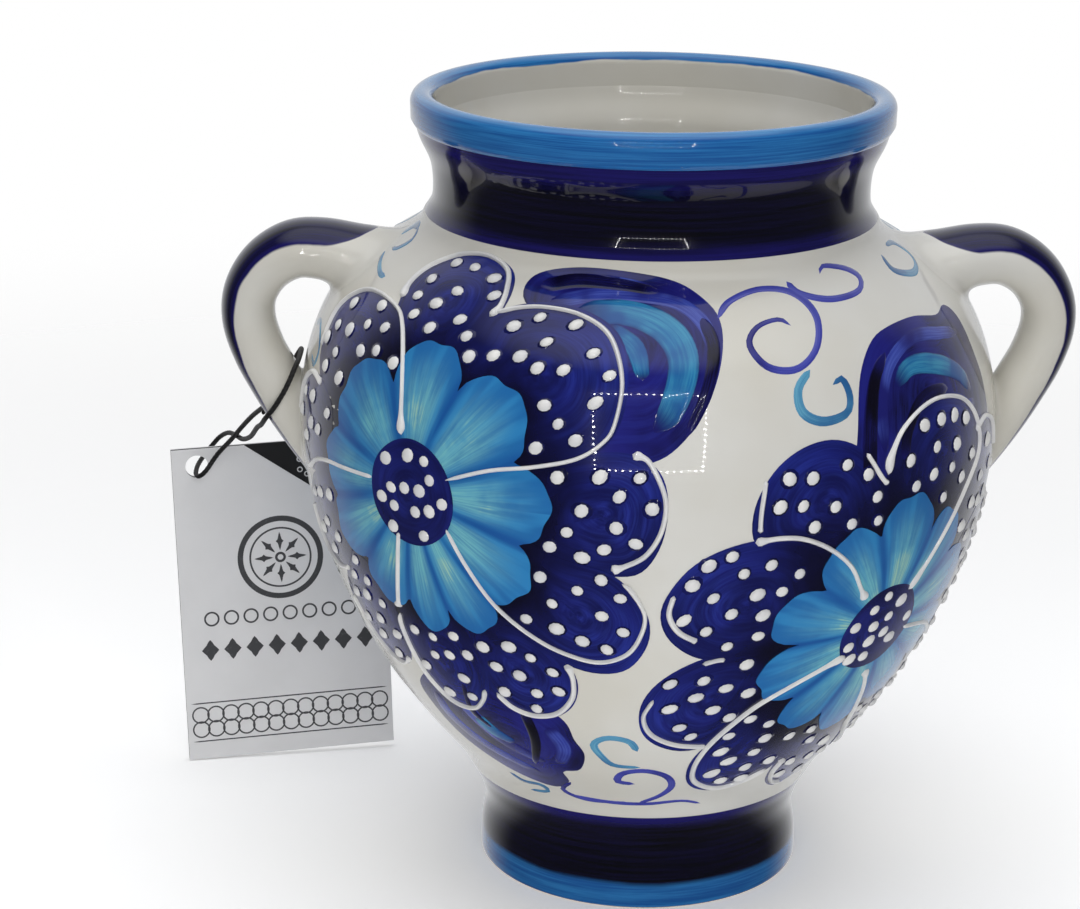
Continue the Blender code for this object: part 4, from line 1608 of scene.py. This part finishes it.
def make_inner_print():
    work = new_mesh_work()
    where = card_paper(1)
    for row in range(2):
        for number in range(4):
            a = 33.4 + 1.8 * number
            b = 80.0 - 2.8 * row - (a - 33.4) * math.tan(CUT_SLOPE)
            ink_ring(work, a, b, 0.62, 0.3, where, 16)
    for row in range(5):
        ink_line(work, [(8.0, 62.0 - 7.0 * row), (26.0, 62.0 - 7.0 * row),
                        (47.0 - 3.0 * (row % 2), 62.0 - 7.0 * row)], 0.5, where)
    finish_piece("inner_print", work, "tag_inner",
                 make_ink("white_ink", srgb(214, 214, 214), srgb(180, 180, 180)))


make_front_print()
make_inner_print()

# %% [markdown]
# ## Light, floor and background
#
# The vase stands in a white light tent, as small pottery often does for its picture. A square
# of small lamps runs round the tent's open front, so every curved glaze shows a dotted
# rectangle; the panel inside it gives their soft light without being reflected. The pale walls
# behind the vase give the reflections at its edges, and the open front reflects as near black.
# The world plays the walls: it is plain white to the camera, and dark in front and pale behind
# to everything else. The floor fades out into the background, so that no horizon shows.

# %% Studio
FRAME_SIZE = (0.36, 0.37)
FRAME_DISTANCE = 0.62
FRAME_HEADING = math.radians(-1.4)
FRAME_RISE = math.radians(18.0)
LAMP_SIZE = 0.0055
LAMPS_A_SIDE = 15
AIM = Vector((0.0, 0.0, 0.11))


def soft_box(name, at, look_at, size, power):
    """A rectangular lamp at a place, facing look_at, that the camera itself doesn't see."""
    lamp = bpy.data.lights.new(name, "AREA")
    lamp.shape = "RECTANGLE"
    lamp.size, lamp.size_y = size
    lamp.energy = power
    box = bpy.data.objects.new(name, lamp)
    box.location = at
    box.rotation_euler = (Vector(look_at) - Vector(at)).to_track_quat("-Z", "Y").to_euler()
    box.visible_camera = False
    bpy.context.scene.collection.objects.link(box)
    return box


def make_lamp_frame(glow, sparkle):
    """A square of small lamps round the tent's opening, and the soft light that it gives."""
    back = Vector((math.sin(FRAME_HEADING) * math.cos(FRAME_RISE),
                   -math.cos(FRAME_HEADING) * math.cos(FRAME_RISE), math.sin(FRAME_RISE)))
    centre = AIM + back * FRAME_DISTANCE
    right = Vector((math.cos(FRAME_HEADING), math.sin(FRAME_HEADING), 0.0))
    up = back.cross(right)
    wide, tall = FRAME_SIZE
    panel = soft_box("frame_glow", centre, AIM, FRAME_SIZE, glow)
    panel.visible_glossy = False
    corners = [(-1, -1), (1, -1), (1, 1), (-1, 1), (-1, -1)]
    for (a, b), (c, d) in zip(corners, corners[1:]):
        for number in range(LAMPS_A_SIDE):
            share = number / LAMPS_A_SIDE
            across = (a + (c - a) * share) * wide / 2
            upward = (b + (d - b) * share) * tall / 2
            at = centre + right * across + up * upward
            soft_box("frame_lamp", at, at - back, (LAMP_SIZE, LAMP_SIZE),
                     sparkle / (4 * LAMPS_A_SIDE))


def make_world():
    world = bpy.data.worlds.new("light_tent")
    world.use_nodes = True
    tree = world.node_tree
    tree.nodes.clear()
    seen = node(tree, "ShaderNodeBackground", {"Color": (1, 1, 1, 1), "Strength": 1.0})
    direction = node(tree, "ShaderNodeTexCoord").outputs["Generated"]
    split = separated(tree, direction)
    walls = smooth_mask(tree, split[1], 0.18, 0.80, 0.06, 0.66)
    roof = smooth_mask(tree, split[2], 0.74, 0.95, 0.0, 0.9)
    strength = math_node(tree, "MAXIMUM", walls, roof)
    lit = node(tree, "ShaderNodeBackground", {"Color": (0.97, 0.98, 1.0, 1), "Strength": strength})
    ray = node(tree, "ShaderNodeLightPath").outputs["Is Camera Ray"]
    both = node(tree, "ShaderNodeMixShader", {0: ray, 1: lit.outputs[0], 2: seen.outputs[0]})
    out = node(tree, "ShaderNodeOutputWorld")
    tree.links.new(both.outputs[0], out.inputs["Surface"])
    bpy.context.scene.world = world


def make_floor():
    work = bmesh.new()
    bmesh.ops.create_circle(work, cap_ends=True, segments=64, radius=1.0)
    mesh = bpy.data.meshes.new("floor")
    work.to_mesh(mesh)
    work.free()
    finish, tree, shader = new_material("pale_floor", 0.9)
    shader.inputs["Base Color"].default_value = srgb(246, 246, 246)
    shader.inputs["Emission Color"].default_value = (1, 1, 1, 1)
    shader.inputs["Emission Strength"].default_value = 0.26
    distance = node(tree, "ShaderNodeVectorMath", {0: object_place(tree)}, operation="LENGTH")
    fade = smooth_mask(tree, distance.outputs["Value"], 0.72, 0.20)
    tree.links.new(fade, shader.inputs["Alpha"])
    mesh.materials.append(finish)
    floor = bpy.data.objects.new("floor", mesh)
    bpy.context.scene.collection.objects.link(floor)
    floor.visible_glossy = False


make_world()
make_floor()
make_lamp_frame(0.9, 0.7)
roof = soft_box("roof_box", (0.0, -0.05, 0.95), AIM, (0.8, 0.8), 3.9)
roof.visible_glossy = False
bpy.context.scene.view_settings.view_transform = "Standard"
